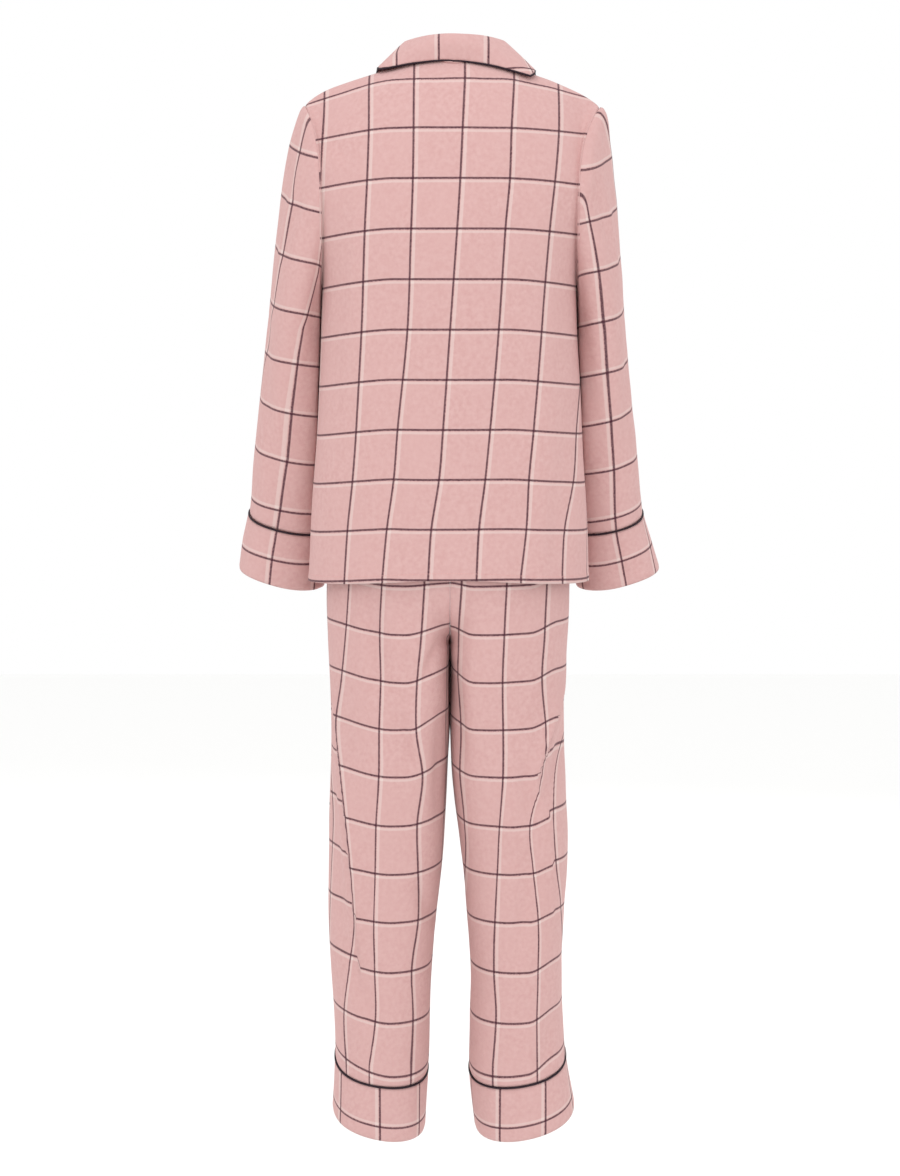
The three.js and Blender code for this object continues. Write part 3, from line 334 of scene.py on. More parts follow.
def make_flannel():
    material, tree, shader = new_material("brushed_check_flannel")
    place = add_node(tree, "ShaderNodeTexCoord").outputs["Object"]
    grain = add_node(tree, "ShaderNodeUVMap", uv_map="check").outputs["UV"]
    # Grains to a metre and their detail, from a nap of 1.1 mm to drifts of 70 mm
    noises = [
        add_node(tree, "ShaderNodeTexNoise", {"Vector": place, "Scale": scale, "Detail": detail})
        for scale, detail in ((620, 2), (190, 4), (14, 2), (900, 3), (60, 2))
    ]
    fuzz, mottle, drift, nap, dents = (noise.outputs["Fac"] for noise in noises)
    across = add_node(tree, "ShaderNodeSeparateXYZ", {"Vector": grain})
    # The fuzz moves a line's edges by half a millimetre at most, and the lines lie at the middle of the ramp
    sockets = {0: fuzz, 1: LINE_WANDER, 2: 0.5 - LINE_WANDER / 2}
    wander = add_node(tree, "ShaderNodeMath", sockets, operation="MULTIPLY_ADD").outputs[0]
    lines = []
    for axis, stripe in (("X", UPRIGHT_STRIPE), ("Y", LEVEL_STRIPE)):
        shifted = add_node(tree, "ShaderNodeMath", {0: across.outputs[axis], 1: wander}).outputs[0]
        share = add_node(tree, "ShaderNodeMath", {0: shifted}, operation="FRACT").outputs[0]
        ramp = add_node(tree, "ShaderNodeValToRGB", {"Fac": share})
        set_stops(ramp.color_ramp, stripe_stops(**stripe))
        lines.append(add_node(tree, "ShaderNodeSeparateColor", {"Color": ramp.outputs["Color"]}))
    # The plum threads lie over and under the pink ones, so each line lets some pink through
    cover = add_node(
        tree, "ShaderNodeMapRange", {"Value": fuzz, 1: 0.35, 2: 0.65, 3: 0.74, 4: 0.97}
    ).outputs[0]
    clear = []
    for line in lines:
        covered = add_node(
            tree, "ShaderNodeMath", {0: line.outputs["Red"], 1: cover}, operation="MULTIPLY"
        ).outputs[0]
        clear.append(
            add_node(tree, "ShaderNodeMath", {0: 1.0, 1: covered}, operation="SUBTRACT").outputs[0]
        )
    uncovered = add_node(tree, "ShaderNodeMath", {0: clear[0], 1: clear[1]}, operation="MULTIPLY").outputs[0]
    plum = add_node(tree, "ShaderNodeMath", {0: 1.0, 1: uncovered}, operation="SUBTRACT").outputs[0]
    whites = [line.outputs["Green"] for line in lines]
    both = add_node(tree, "ShaderNodeMath", {0: whites[0], 1: whites[1]}, operation="ADD").outputs[0]
    white = add_node(
        tree, "ShaderNodeMath", {0: both, 1: WHITE_SHARE}, operation="MULTIPLY", use_clamp=True
    ).outputs[0]
    spread = add_node(tree, "ShaderNodeMapRange", {"Value": mottle, 1: 0.3, 2: 0.7}).outputs[0]
    colour = add_node(
        tree,
        "ShaderNodeMix",
        {"Factor": spread, "A": linear(DEEP_PINK), "B": linear(PALE_PINK)},
        data_type="RGBA",
    )
    for factor, tint in ((drift, PINK), (white, OFF_WHITE), (plum, PLUM)):
        colour = add_node(
            tree,
            "ShaderNodeMix",
            {"Factor": factor, 6: colour.outputs[2], 7: linear(tint)},
            data_type="RGBA",
        )
    # The twill's ribs run up to the right. They are drawn at 1.3 mm, twice as coarse as real ones, to show.
    slanted = add_node(
        tree, "ShaderNodeMapping", {"Vector": grain, "Rotation": (0, 0, math.radians(45))}
    ).outputs[0]
    twill = add_node(
        tree,
        "ShaderNodeTexWave",
        {"Vector": slanted, "Scale": CHECK / TWILL_RIB / WAVE_BANDS, "Distortion": 1.2},
    ).outputs["Fac"]
    bump = None
    for height, distance in ((twill, 0.00012), (nap, 0.0005), (dents, 0.0011)):
        sockets = {"Height": height, "Distance": distance, "Strength": 0.6}
        if bump:
            sockets["Normal"] = bump.outputs["Normal"]
        bump = add_node(tree, "ShaderNodeBump", sockets)
    sockets = {
        "Base Color": colour.outputs[2],
        "Normal": bump.outputs["Normal"],
        "Roughness": 0.95,
        "Specular IOR Level": 0.2,
        "Sheen Weight": 0.12,
        "Sheen Roughness": 0.55,
        "Sheen Tint": (1, 0.86, 0.84, 1),
    }
    set_sockets(tree, shader, sockets)
    return material


flannel = make_flannel()


def add_piece(mesh_maker, name, material, nodes=()):
    """Turns a bmesh in metres into a piece, which takes the place of its CAD nodes."""
    for face in mesh_maker.faces:
        face.smooth = True
    mesh = bpy.data.meshes.new(name)
    mesh_maker.to_mesh(mesh)
    mesh_maker.free()
    mesh.materials.append(material)
    piece = bpy.data.objects.new(name, mesh)
    bpy.context.scene.collection.objects.link(piece)
    if nodes:
        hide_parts(*nodes)
    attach(piece, "root")
    return piece


def make_cloth(
    name, points, check, nodes, outward=1, joined=False, thick=1.2, material=flannel
):
    """Lays a flat grid of cloth over points, a grid of places in millimetres, and gives it its thickness.

    check is each point's place in the weave. joined is for a tube, whose two edges meet.
    """
    columns, rows = points.shape[0] - 1, points.shape[1] - 1
    mesh_maker = bmesh.new()
    weave = mesh_maker.loops.layers.uv.new("check")
    bmesh.ops.create_grid(mesh_maker, x_segments=columns, y_segments=rows, size=0.5)
    for vertex in mesh_maker.verts:
        i, j = round((vertex.co.x + 0.5) * columns), round((vertex.co.y + 0.5) * rows)
        vertex.index = i * (rows + 1) + j
    flat = points.reshape(-1, 3) * 0.001
    shares = check.reshape(-1, 2) / CHECK
    for face in mesh_maker.faces:
        for corner in face.loops:
            corner[weave].uv = shares[corner.vert.index]
    for vertex in mesh_maker.verts:
        vertex.co = flat[vertex.index]
    if joined:
        bmesh.ops.remove_doubles(mesh_maker, verts=mesh_maker.verts, dist=1e-6)
    if outward < 0:
        bmesh.ops.reverse_faces(mesh_maker, faces=mesh_maker.faces)
    piece = add_piece(mesh_maker, name, material, nodes)
    if thick:
        wall = piece.modifiers.new("thickness", "SOLIDIFY")
        wall.thickness = thick * 0.001
        wall.offset = -1
    return piece


STEP = 3.6


def fractions(length):
    """Even shares of a length, a STEP or so apart."""
    return np.linspace(0, 1, round(length / STEP) + 1)


# Where each numbered line of the check runs down the back, and how far the level lines droop at the sides
BACK_LINES = {
    "z": [-655, -594, -530, -468, -340, -213, -149, -86, -23],
    -3: [-146, -149, -161, -166, -176, -188, -192, -198, -200],
    -2: [-91, -98, -101, -107, -117, -127, -134, -139, -140],
    -1: [-34, -37, -45, -51, -62, -70, -76, -78, -82],
    0: [28, 24, 14, 9, 0, -9, -13, -16, -19],
    1: [87, 81, 72, 67, 54, 49, 47, 46, 46],
    2: [136, 132, 125, 120, 113, 108, 105, 103, 104],
    3: [194, 189, 184, 179, 171, 168, 166, 163, 163],
}
BACK_DROOP = {
    "z": [-656, -594, -530, -468, -404, -300, -213, -149, -86, -23],
    "left": [9, 9.5, 11, 12, 12.5, 13, 12, 12, 14, 30],
    "right": [6.5, 7.7, 9.5, 9.7, 10, 10.5, 7, 7, 5, 22],
}
DROOP = {"from_x": 72, "over": 98, "most": 1.3, "power": 1.5}
HEM_DROP = {"height": 1.2, "from_z": -600, "to_z": -650}
TOP_LINE_Z = -23


def at_place(place, places, values):
    """Reads a grid's values at one place in each of its columns, where the places grow down the column."""
    place = np.broadcast_to(place, places.shape[1])
    return np.array([np.interp(*column) for column in zip(place, places.T, values.T)])


def across_lines(x, arc, table, z, side=1, growing=1):
    """Places across the weave: even between two lines of a table, and by the cloth's length past them.

    side is -1 where the table's places are on the other side, and growing -1 where x falls down a column.
    """
    numbers = [number for number in table if number != "z"]
    lines = [side * read(table, number, z) for number in numbers]
    across = np.zeros_like(x)
    for number, near, far in zip(numbers, lines, lines[1:]):
        share = (x - near) / (far - near)
        across = np.where((share >= 0) & (share < 1), (number + share) * CHECK, across)
    for number, line, outside in (
        (numbers[0], lines[0], x < lines[0]),
        (numbers[-1], lines[-1], x > lines[-1]),
    ):
        start = at_place(growing * line[0], growing * x, arc)
        across = np.where(outside, number * CHECK + growing * (arc - start), across)
    return across


def drooped(points):
    """The height that each point has in the weave, whose level lines droop at the side seams."""
    x, z = points[..., 0], points[..., 2]
    droop = np.where(x > 0, read(BACK_DROOP, "left", z), read(BACK_DROOP, "right", z))
    share = np.clip((np.abs(x) - DROOP["from_x"]) / DROOP["over"], 0, DROOP["most"])
    return z + droop * share ** DROOP["power"]


def back_check(points):
    """The back's place in the weave: lines are read from the table, and levels from the height."""
    x, z = points[..., 0], points[..., 2]
    across = across_lines(x, arc_along(points, 0), BACK_LINES, z)
    level = drooped(points) + HEM_DROP["height"] * smooth(z, HEM_DROP["from_z"], HEM_DROP["to_z"])
    arc = arc_along(points, 1)
    rise = np.where(level[:, 1:] < TOP_LINE_Z, np.diff(level, axis=1), np.diff(arc, axis=1))
    up = level[:, :1] + np.concatenate([np.zeros_like(level[:, :1]), np.cumsum(rise, axis=1)], axis=1)
    return np.stack([across, up - TOP_LINE_Z], axis=-1)


HEM_STITCH = 9.5


def hem_relief(points, seed):
    """The turned-up hem is a little thicker, and its row of stitches sinks in and draws up small puckers."""
    height = arc_along(points, 1)
    along = arc_along(points, 0)
    groove = seam_dip(height - HEM_STITCH, 0.45, 1.1)
    doubled = 0.45 * (1 - smooth(height, HEM_STITCH - 1, HEM_STITCH + 1))
    phase = np.random.default_rng(seed).uniform(0, 6.3, 3)
    ripple = sum(np.sin(along / length + start) for length, start in zip((2.3, 3.7, 9), phase))
    return groove + doubled - ripple * seam_dip(height - HEM_STITCH, 0.16, 9)


def edge_distance(points, axis, end):
    """How far each point is from one end of its row or column."""
    arc = arc_along(points, axis)
    return np.take(arc, [-1], axis=axis) - arc if end else arc


s = mix(-1, 1, fractions(540))[:, None]
level = rows_up(fractions(720))[None, :]
cut = NECK_CUT["share"] * (1 - neck_level(s)) * np.maximum(level, 0) ** NECK_CUT["power"]
trimmed = np.where(level > 0, level - cut, level)
back_points = body_cloth(1, BACK_FOLDS, s + 0 * level, trimmed)
back_points[..., 1] += HALF_GAP
back_relief = uneven(back_points, 1) + hem_relief(back_points, 2)
for end in (False, True):
    back_relief += seam_dip(edge_distance(back_points, 0, end))
back_relief += seam_dip(edge_distance(back_points, 1, True), 0.7)
back_cloth = relief(back_points, back_relief, -1)
shirt_back = make_cloth("back_cloth", back_cloth, back_check(back_points), ["shirt_back"], outward=-1)

# The two fronts are cut as the back is, and the right one laps over the left. The photograph doesn't show
# them, so they are plain, with the check level at the side seams. Above the break they roll outwards as
# lapels.
FRONT_FOLDS = [
    (128, -150, 120, -420, 18, -3),
    (-126, -160, -128, -440, 18, -3),
    (88, -330, 96, -690, 22, 3.2),
    (-84, -360, -102, -690, 22, 3.2),
    (140, -470, 150, -690, 18, -2.8),
    (-140, -450, -146, -690, 18, -2.8),
]
SIDES = {"left": 1, "right": -1}
FRONT_OVERLAP = 0.097
BREAK_LEVEL = 0.29
GORGE_LEVEL = 0.84
LAP = {"depth": 2.3, "from": 0.12, "to": 0.3}
FRONT_SPREAD = {"share": 0.28, "from_x": 90, "to_x": 165}
LAPEL = {
    "lift": 3.7,
    "roll_lift": 2.2,
    "end": GORGE_LEVEL - 0.006,
    "start": 0.035,
    "width": 0.4,
    "taper": 0.32,
    "slant": 0.1,
}
LAPEL_START = {"left": 0.4, "right": 0.3}


def front_edge(level):
    """Where a front ends towards the middle, on its own side of the centre line."""
    up = np.maximum(0, (level - BREAK_LEVEL) / (1 - BREAK_LEVEL))
    return mix(-FRONT_OVERLAP, NECK["share"], up)


def front_cloth(side, s, level, lift=0):
    """A front's form. The left one lies under the right one near the centre line."""
    tuck = LAP["depth"] * (1 - smooth(s, LAP["from"], LAP["to"])) if side > 0 else 0
    points = body_cloth(-1, FRONT_FOLDS, side * s, level, lift - tuck)
    points[..., 1] -= HALF_GAP
    return points


def front_check(points):
    """A front's place in the weave, straight up from the hem and level with the back at the side seam."""
    x = points[..., 0]
    spread = 1 + FRONT_SPREAD["share"] * smooth(np.abs(x), FRONT_SPREAD["from_x"], FRONT_SPREAD["to_x"])
    return np.stack([x * spread, drooped(points) - TOP_LINE_Z], axis=-1)


for name, side in SIDES.items():
    q, level = np.meshgrid(fractions(270), rows_up(fractions(720)), indexing="ij")
    points = front_cloth(side, mix(front_edge(level), 1, q), level)
    lift = uneven(points, 10 + side) + hem_relief(points, 12 + side)
    lift += seam_dip(edge_distance(points, 0, True)) + seam_dip(edge_distance(points, 1, True), 0.7)
    front = make_cloth(
        f"front_cloth_{name}",
        relief(points, lift, side),
        front_check(points),
        [f"shirt_front_{name}"],
        outward=side,
    )

    heights = mix(LAPEL_START[name], LAPEL["end"], fractions(190))
    q, level = np.meshgrid(fractions(110), heights, indexing="ij")
    up = (level - BREAK_LEVEL) / (GORGE_LEVEL - BREAK_LEVEL)
    width = LAPEL["start"] + LAPEL["width"] * up**0.75 * (1 - LAPEL["taper"] * up**6)
    lift = mix(LAPEL["roll_lift"], LAPEL["lift"], smooth(q, 0, 0.2))
    points = front_cloth(side, front_edge(level) + width * q, level - LAPEL["slant"] * up * q, lift)
    roll = seam_dip(edge_distance(points, 0, False), 1.6, 2.2)
    edge = seam_dip(edge_distance(points, 0, True), 0.5, 1.2)
    lapel = make_cloth(
        f"lapel_cloth_{name}",
        relief(points, roll + edge, side),
        np.stack([-side * arc_along(points, 0), points[..., 2] - TOP_LINE_Z], axis=-1),
        [f"lapel_{name}"],
        outward=side,
        thick=1.5,
    )

# Five round buttons, moulded in pink polyester with a raised rim and four holes, are sewn to the right front
# with a cross of pink thread. They are shown fastened.
BUTTON_RADIUS = 7
BUTTON_RIM = 1.7
BUTTON_DEPTH = 2.1
BUTTON_DISH = 0.7
HOLE_RADIUS = 0.75
HOLE_SPREAD = 1.5
BUTTONS = {"count": 5, "first_z": -224, "spacing": 88, "lift": 0.9}
THREAD = {"half_length": 2.415, "half_width": 0.42, "half_height": 0.5, "lift": BUTTON_DEPTH - 0.6}


def make_moulded():
    """Moulded polyester: smooth and glossy, with the faint cloudy swirl of imitation shell."""
    material, tree, shader = new_material("moulded_pink_polyester")
    place = add_node(tree, "ShaderNodeTexCoord").outputs["Object"]
    swirl = add_node(
        tree, "ShaderNodeTexNoise", {"Vector": place, "Scale": 260, "Detail": 3, "Distortion": 1.5}
    ).outputs["Fac"]
    ramp = add_node(tree, "ShaderNodeValToRGB", {"Fac": swirl})
    set_stops(ramp.color_ramp, [(0.3, linear("#cf9d98")), (0.7, linear("#e6c2bd"))])
    scuffs = add_node(tree, "ShaderNodeMapRange", {"Value": swirl, 3: 0.18, 4: 0.32}).outputs[0]
    sockets = {"Base Color": ramp.outputs["Color"], "Roughness": scuffs, "Coat Weight": 0.3}
    set_sockets(tree, shader, sockets)
    return material


def make_thread():
    """Spun polyester sewing thread: a fine two-ply twist with a soft sheen."""
    material, tree, shader = new_material("pink_sewing_thread")
    place = add_node(tree, "ShaderNodeTexCoord").outputs["Object"]
    ply = add_node(tree, "ShaderNodeTexNoise", {"Vector": place, "Scale": 2400, "Detail": 1}).outputs["Fac"]
    ramp = add_node(tree, "ShaderNodeValToRGB", {"Fac": ply})
    set_stops(ramp.color_ramp, [(0.35, linear("#c98f8d")), (0.65, linear("#e2b0ac"))])
    bump = add_node(tree, "ShaderNodeBump", {"Height": ply, "Distance": 0.0001, "Strength": 0.5})
    sockets = {
        "Base Color": ramp.outputs["Color"],
        "Normal": bump.outputs["Normal"],
        "Roughness": 0.6,
        "Sheen Weight": 0.2,
    }
    set_sockets(tree, shader, sockets)
    return material


moulded = make_moulded()
pink_thread = make_thread()


def add_solid(mesh_maker, name, material, nodes=()):
    """Turns a closed bmesh in millimetres into a piece."""
    bmesh.ops.recalc_face_normals(mesh_maker, faces=mesh_maker.faces)
    bmesh.ops.scale(mesh_maker, verts=mesh_maker.verts, vec=(0.001, 0.001, 0.001))
    add_piece(mesh_maker, name, material, nodes)


TURN_UP = Matrix.Rotation(math.radians(90), 3, "X")


def button_mesh():
    """A plate with four holes inside a rounded rim, facing up from its back at height 0."""
    maker = bmesh.new()
    inner = BUTTON_RADIUS - BUTTON_RIM
    rounds = [(0, 0, inner, 36)]
    rounds += [(x * HOLE_SPREAD, y * HOLE_SPREAD, HOLE_RADIUS, 12) for x in (-1, 1) for y in (-1, 1)]
    for x, y, radius, corners in rounds:
        ring = bmesh.ops.create_circle(maker, segments=corners, radius=radius)["verts"]
        bmesh.ops.translate(maker, verts=ring, vec=(x, y, 0))
    edges = bmesh.ops.triangle_fill(maker, edges=maker.edges[:], use_beauty=True)
    plate = [part for part in edges["geom"] if isinstance(part, bmesh.types.BMFace)]
    raised = bmesh.ops.extrude_face_region(maker, geom=plate)["geom"]
    moved = [part for part in raised if isinstance(part, bmesh.types.BMVert)]
    bmesh.ops.translate(maker, verts=moved, vec=(0, 0, BUTTON_DEPTH - BUTTON_DISH))
    rim = bmesh.ops.create_circle(maker, segments=14, radius=1)["verts"]
    bmesh.ops.scale(maker, verts=rim, vec=(BUTTON_RIM / 2 + 0.1, BUTTON_DEPTH / 2, 1))
    bmesh.ops.rotate(maker, verts=rim, matrix=TURN_UP)
    bmesh.ops.translate(maker, verts=rim, vec=(inner + BUTTON_RIM / 2, 0, BUTTON_DEPTH / 2))
    rim_edges = [edge for edge in maker.edges if all(v in rim for v in edge.verts)]
    bmesh.ops.spin(
        maker,
        geom=rim + rim_edges,
        cent=(0, 0, 0),
        axis=(0, 0, 1),
        angle=2 * math.pi,
        steps=40,
        use_merge=True,
    )
    return maker


def right_front(s, level):
    """The cloth that the buttons are sewn to."""
    return front_cloth(-1, s, level)


for index in range(BUTTONS["count"]):
    z = BUTTONS["first_z"] - index * BUTTONS["spacing"]
    height = -UNDERARM_Z if z > UNDERARM_Z else UNDERARM_Z - HEM_Z["front"]
    level = np.array((z - UNDERARM_Z) / height)
    middle = Vector(right_front(np.array(0.0), level).tolist())
    facing = -Vector(square_to(right_front, np.array(0.0), level, BODY_LIMITS).tolist())
    turn = facing.to_track_quat("Z", "Y").to_matrix()
    maker = button_mesh()
    bmesh.ops.rotate(maker, verts=maker.verts, matrix=turn)
    bmesh.ops.translate(maker, verts=maker.verts, vec=middle + BUTTONS["lift"] * facing)
    add_solid(maker, f"button_moulded_{index + 1}", moulded, [f"button_{index + 1}"])
    maker = bmesh.new()
    for angle in (45, -45):
        strand = bmesh.ops.create_uvsphere(maker, u_segments=10, v_segments=8, radius=1)["verts"]
        size = (THREAD["half_length"], THREAD["half_width"], THREAD["half_height"])
        bmesh.ops.scale(maker, verts=strand, vec=size)
        bmesh.ops.rotate(maker, verts=strand, matrix=Matrix.Rotation(math.radians(angle), 3, "Z"))
    bmesh.ops.rotate(maker, verts=maker.verts, matrix=turn)
    bmesh.ops.translate(maker, verts=maker.verts, vec=middle + (BUTTONS["lift"] + THREAD["lift"]) * facing)
    add_solid(maker, f"button_thread_{index + 1}", pink_thread)

# The collar is one folded band of doubled flannel. Its stand rises from the neck seam, rolls over and falls
# on the back and shoulders, and its outer edge is piped. The check runs up it, with the off-white on the
# left.
STAND = {"roll_z": 33, "side_roll_z": 27, "end_height": 4, "roll": 2.4, "lean": -0.2}
BULGE = {"back": 0.62, "side": 0.42}
FALL = {"lift": 3.2, "shoulder_lift": 2.2}
# Where the fall's edge lies on the back, from the centre to the shoulder, and where it ends in front
FALL_EDGE = {
    "at": [0, 0.2, 0.4, 0.6, 0.8, 0.9, 1],
    "left_spread": [0, 0.14, 0.27, 0.4, 0.51, 0.54, 0.555],
    "left": [0.933, 0.945, 0.958, 0.974, 0.983, 0.99, 1],
    "right_spread": [0, 0.14, 0.28, 0.42, 0.54, 0.57, 0.58],
    "right": [0.933, 0.938, 0.947, 0.956, 0.961, 0.978, 1],
}
FALL_END = {"spread": 0.62, "level": 0.8}
COLLAR_THICK = 2.1
COLLAR_EDGE = {"swell": 0.25, "inside": 3, "width": 2.2}


def side_name(side):
    return "left" if side > 0 else "right"


def neck_seam(station):
    """The neck seam. Stations run from 0 at the centre back to 1 at the neck point and 2 at the gorge."""
    side, at = (-1 if station < 0 else 1), abs(station)
    if at <= 1:
        s = np.array(side * at * NECK["share"])
        return body_form(1, s, neck_level(s))
    level = np.array(mix(1, GORGE_LEVEL + 0.02, at - 1))
    return front_cloth(side, front_edge(level), level)


def fall_edge(station):
    """The outer edge of the fall, on the back, the shoulder and then the front."""
    side, at = (-1 if station < 0 else 1), abs(station)
    name = side_name(side)
    lift = FALL["lift"] + FALL["shoulder_lift"] * math.sin(math.pi * min(max((at - 0.3) / 1.7, 0), 1))
    if at <= 1:
        spread = np.interp(at, FALL_EDGE["at"], FALL_EDGE[name + "_spread"])
        level = np.interp(at, FALL_EDGE["at"], FALL_EDGE[name])
        return body_cloth(1, BACK_FOLDS, np.array(side * spread), np.array(level), lift)
    s = np.array(mix(FALL_EDGE[name + "_spread"][-1], FALL_END["spread"], at - 1))
    return front_cloth(side, s, np.array(mix(1, FALL_END["level"], at - 1)), lift)


def unit(vector):
    return vector / np.linalg.norm(vector)


def collar_bends(station):
    """The points that the middle of the collar's cloth passes through at a station."""
    at = abs(station)
    seam, edge = neck_seam(station), fall_edge(station)
    bearing = min(at, 1) * math.pi / 2
    behind = np.array([math.copysign(math.sin(bearing), station), math.cos(bearing), 0])
    outward = unit(mix(behind, unit((edge - seam) * [1, 1, 0]), smooth(at, 0.5, 1)))
    front = smooth(at, 1, 2)
    back_height = mix(STAND["roll_z"], STAND["side_roll_z"], at**4) - seam[2]
    height = back_height if at <= 1 else mix(STAND["side_roll_z"], STAND["end_height"], front)
    up = unit(mix(np.array([0, 0, 1.0]), np.array([0, -1.0, 0]), front * 0.8))
    stand = unit(up + outward * mix(STAND["lean"], 0, smooth(at, 0.4, 2)))
    start = seam + stand * mix(0.7, 1.4, smooth(at, 0.7, 1.1))
    roll, size = seam + stand * height, STAND["roll"]
    rise = mix(BULGE["back"], BULGE["side"], smooth(at, 0.3, 1)) * height
    return np.array(
        [
            start,
            mix(start, roll, 0.6),
            roll - stand * size * 0.3,
            roll + outward * size + stand * size * 0.5,
            roll + outward * 2 * size - stand * size * 0.3,
            mix(seam, edge, 0.5) + up * rise + outward * 3,
            edge,
        ]
    )


def through(bends, steps):
    """A smooth curve through points, at steps counted from one point to the next."""
    bends = np.concatenate([[2 * bends[0] - bends[1]], bends, [2 * bends[-1] - bends[-2]]])
    gaps = np.sqrt(np.linalg.norm(np.diff(bends, axis=0), axis=1))
    places = []
    for step in steps:
        k = min(int(step), len(bends) - 4)
        share = step - k
        p0, p1, p2, p3 = bends[k : k + 4]
        d0, d1, d2 = gaps[k : k + 3]
        leave = ((p1 - p0) / d0 - (p2 - p0) / (d0 + d1) + (p2 - p1) / d1) * d1
        arrive = ((p2 - p1) / d1 - (p3 - p1) / (d1 + d2) + (p3 - p2) / d2) * d1
        square, cube = share**2, share**3
        places.append(
            mix(p1, p2, 3 * square - 2 * cube)
            + leave * (cube - 2 * square + share)
            + arrive * (cube - square)
        )
    return np.array(places)


# Where the check's lines stand on the fall behind the neck, and the weave's height at the roll
COLLAR_LINES = {"x": [-111, -49, 14, 68, 122], "line": [2, 1, 0, -1, -2]}
ROLL_IN_WEAVE = -6
BEHIND_NECK = {"station": 0.9, "x": 84, "margin": 2}
# The collar's rows are counted in steps from one bend to the next, and the roll is at the third
ROLL_STEP = 3


def collar_line(x):
    """The place in the weave at a distance from the middle, behind the neck."""
    return CHECK * np.interp(x, COLLAR_LINES["x"], COLLAR_LINES["line"])


stations = np.linspace(-2, 2, 111)
profile = np.concatenate([np.linspace(0, 2, 8)[:-1], np.linspace(2, 4, 11)[:-1], np.linspace(4, 6, 18)])
collar_middle = np.array([through(collar_bends(station), profile) for station in stations])
arc_up = arc_along(collar_middle, 1)
to_edge = arc_up[:, -1:] - arc_up
along = arc_along(collar_middle, 0)
behind = np.abs(stations) <= BEHIND_NECK["station"]
collar_across = np.zeros(to_edge.shape)
for j in range(len(profile)):
    # Behind the neck the lines stand upright, and from there they follow the cloth round to the front
    x, arc = collar_middle[behind, j, 0], along[behind, j]
    limit = min(np.max(x), -np.min(x), BEHIND_NECK["x"]) - BEHIND_NECK["margin"]
    upright = collar_line(collar_middle[:, j, 0])
    for side in (-1, 1):
        past = along[:, j] - np.interp(side * limit, x, arc)
        upright = np.where(side * past > 0, collar_line(side * limit) - past, upright)
    collar_across[:, j] = upright
# Level lines keep their distance from the roll, so that one runs inside the stand and none on the fall behind
roll_row = int(np.argmin(np.abs(profile - ROLL_STEP)))
past_roll = arc_up - arc_up[:, roll_row : roll_row + 1]
swell = uneven(collar_middle, 21, 0.35)
swell -= seam_dip(to_edge - COLLAR_EDGE["inside"], COLLAR_EDGE["swell"], COLLAR_EDGE["width"])
collar = make_cloth(
    "collar_cloth",
    relief(collar_middle, COLLAR_THICK / 2 + swell, 1),
    np.stack([collar_across, ROLL_IN_WEAVE - past_roll], axis=-1),
    ["collar"],
    thick=COLLAR_THICK,
)

# The piping is a thin cotton cord wrapped in a bias strip of near-black satin and sewn into the edge, so its
# weave runs round it at a slant and catches the light along the top.
PIPING_RADIUS = 1.3
PIPING_ON_COLLAR = {"out": 1.1, "up": 0.6}
SATIN_RIB = 1.8


def make_satin():
    material, tree, shader = new_material("black_satin_bias_piping")
    weave = add_node(tree, "ShaderNodeUVMap", uv_map="check").outputs["UV"]
    slant = add_node(tree, "ShaderNodeMapping", {"Vector": weave, "Rotation": (0, 0, 0.7)}).outputs[0]
    twist = add_node(
        tree,
        "ShaderNodeTexWave",
        {"Vector": slant, "Scale": CHECK / SATIN_RIB / WAVE_BANDS, "Distortion": 0.6},
    ).outputs["Fac"]
    ramp = add_node(tree, "ShaderNodeValToRGB", {"Fac": twist})
    set_stops(ramp.color_ramp, [(0.2, linear("#170a13")), (0.9, linear("#2f1626"))])
    bump = add_node(tree, "ShaderNodeBump", {"Height": twist, "Distance": 0.00015, "Strength": 0.5})
    sockets = {
        "Base Color": ramp.outputs["Color"],
        "Normal": bump.outputs["Normal"],
        "Roughness": 0.55,
        "Specular IOR Level": 0.25,
    }
    set_sockets(tree, shader, sockets)
    return material


satin = make_satin()


def make_piping(name, middle, out, node, closed):
    """A cord along a line of places, with the direction out of the cloth's edge at each."""
    along = np.gradient(middle, axis=0)
    if closed:
        along[0] = along[-1] = middle[1] - middle[-2]
    along /= np.linalg.norm(along, axis=1, keepdims=True)
    normal = np.cross(along, out)
    normal /= np.linalg.norm(normal, axis=1, keepdims=True)
    out = np.cross(normal, along)
    angle = np.linspace(0, 2 * math.pi, 11)[None, :, None]
    round_it = np.cos(angle) * out[:, None] + np.sin(angle) * normal[:, None]
    points = middle[:, None] + PIPING_RADIUS * round_it
    length, turned = np.broadcast_arrays(arc_along(middle[:, None], 0), PIPING_RADIUS * angle[..., 0])
    check = np.stack([length, turned], axis=-1)
    cord = make_cloth(name, points, check, [node], joined=True, thick=0, material=satin)
    maker = bmesh.new()
    maker.from_mesh(cord.data)
    bmesh.ops.holes_fill(maker, edges=[edge for edge in maker.edges if edge.is_boundary])
    bmesh.ops.recalc_face_normals(maker, faces=maker.faces)
    maker.to_mesh(cord.data)
    maker.free()


collar_edge = collar_middle[:, -1]
edge_out = collar_edge - collar_middle[:, -3]
edge_out /= np.linalg.norm(edge_out, axis=1, keepdims=True)
edge_up = relief(collar_middle, np.full(to_edge.shape, 0.5), 1)[:, -1] - collar_edge
cord_line = collar_edge + PIPING_ON_COLLAR["out"] * edge_out + PIPING_ON_COLLAR["up"] * edge_up
make_piping("collar_piping_cord", cord_line, edge_out, "collar_piping", False)

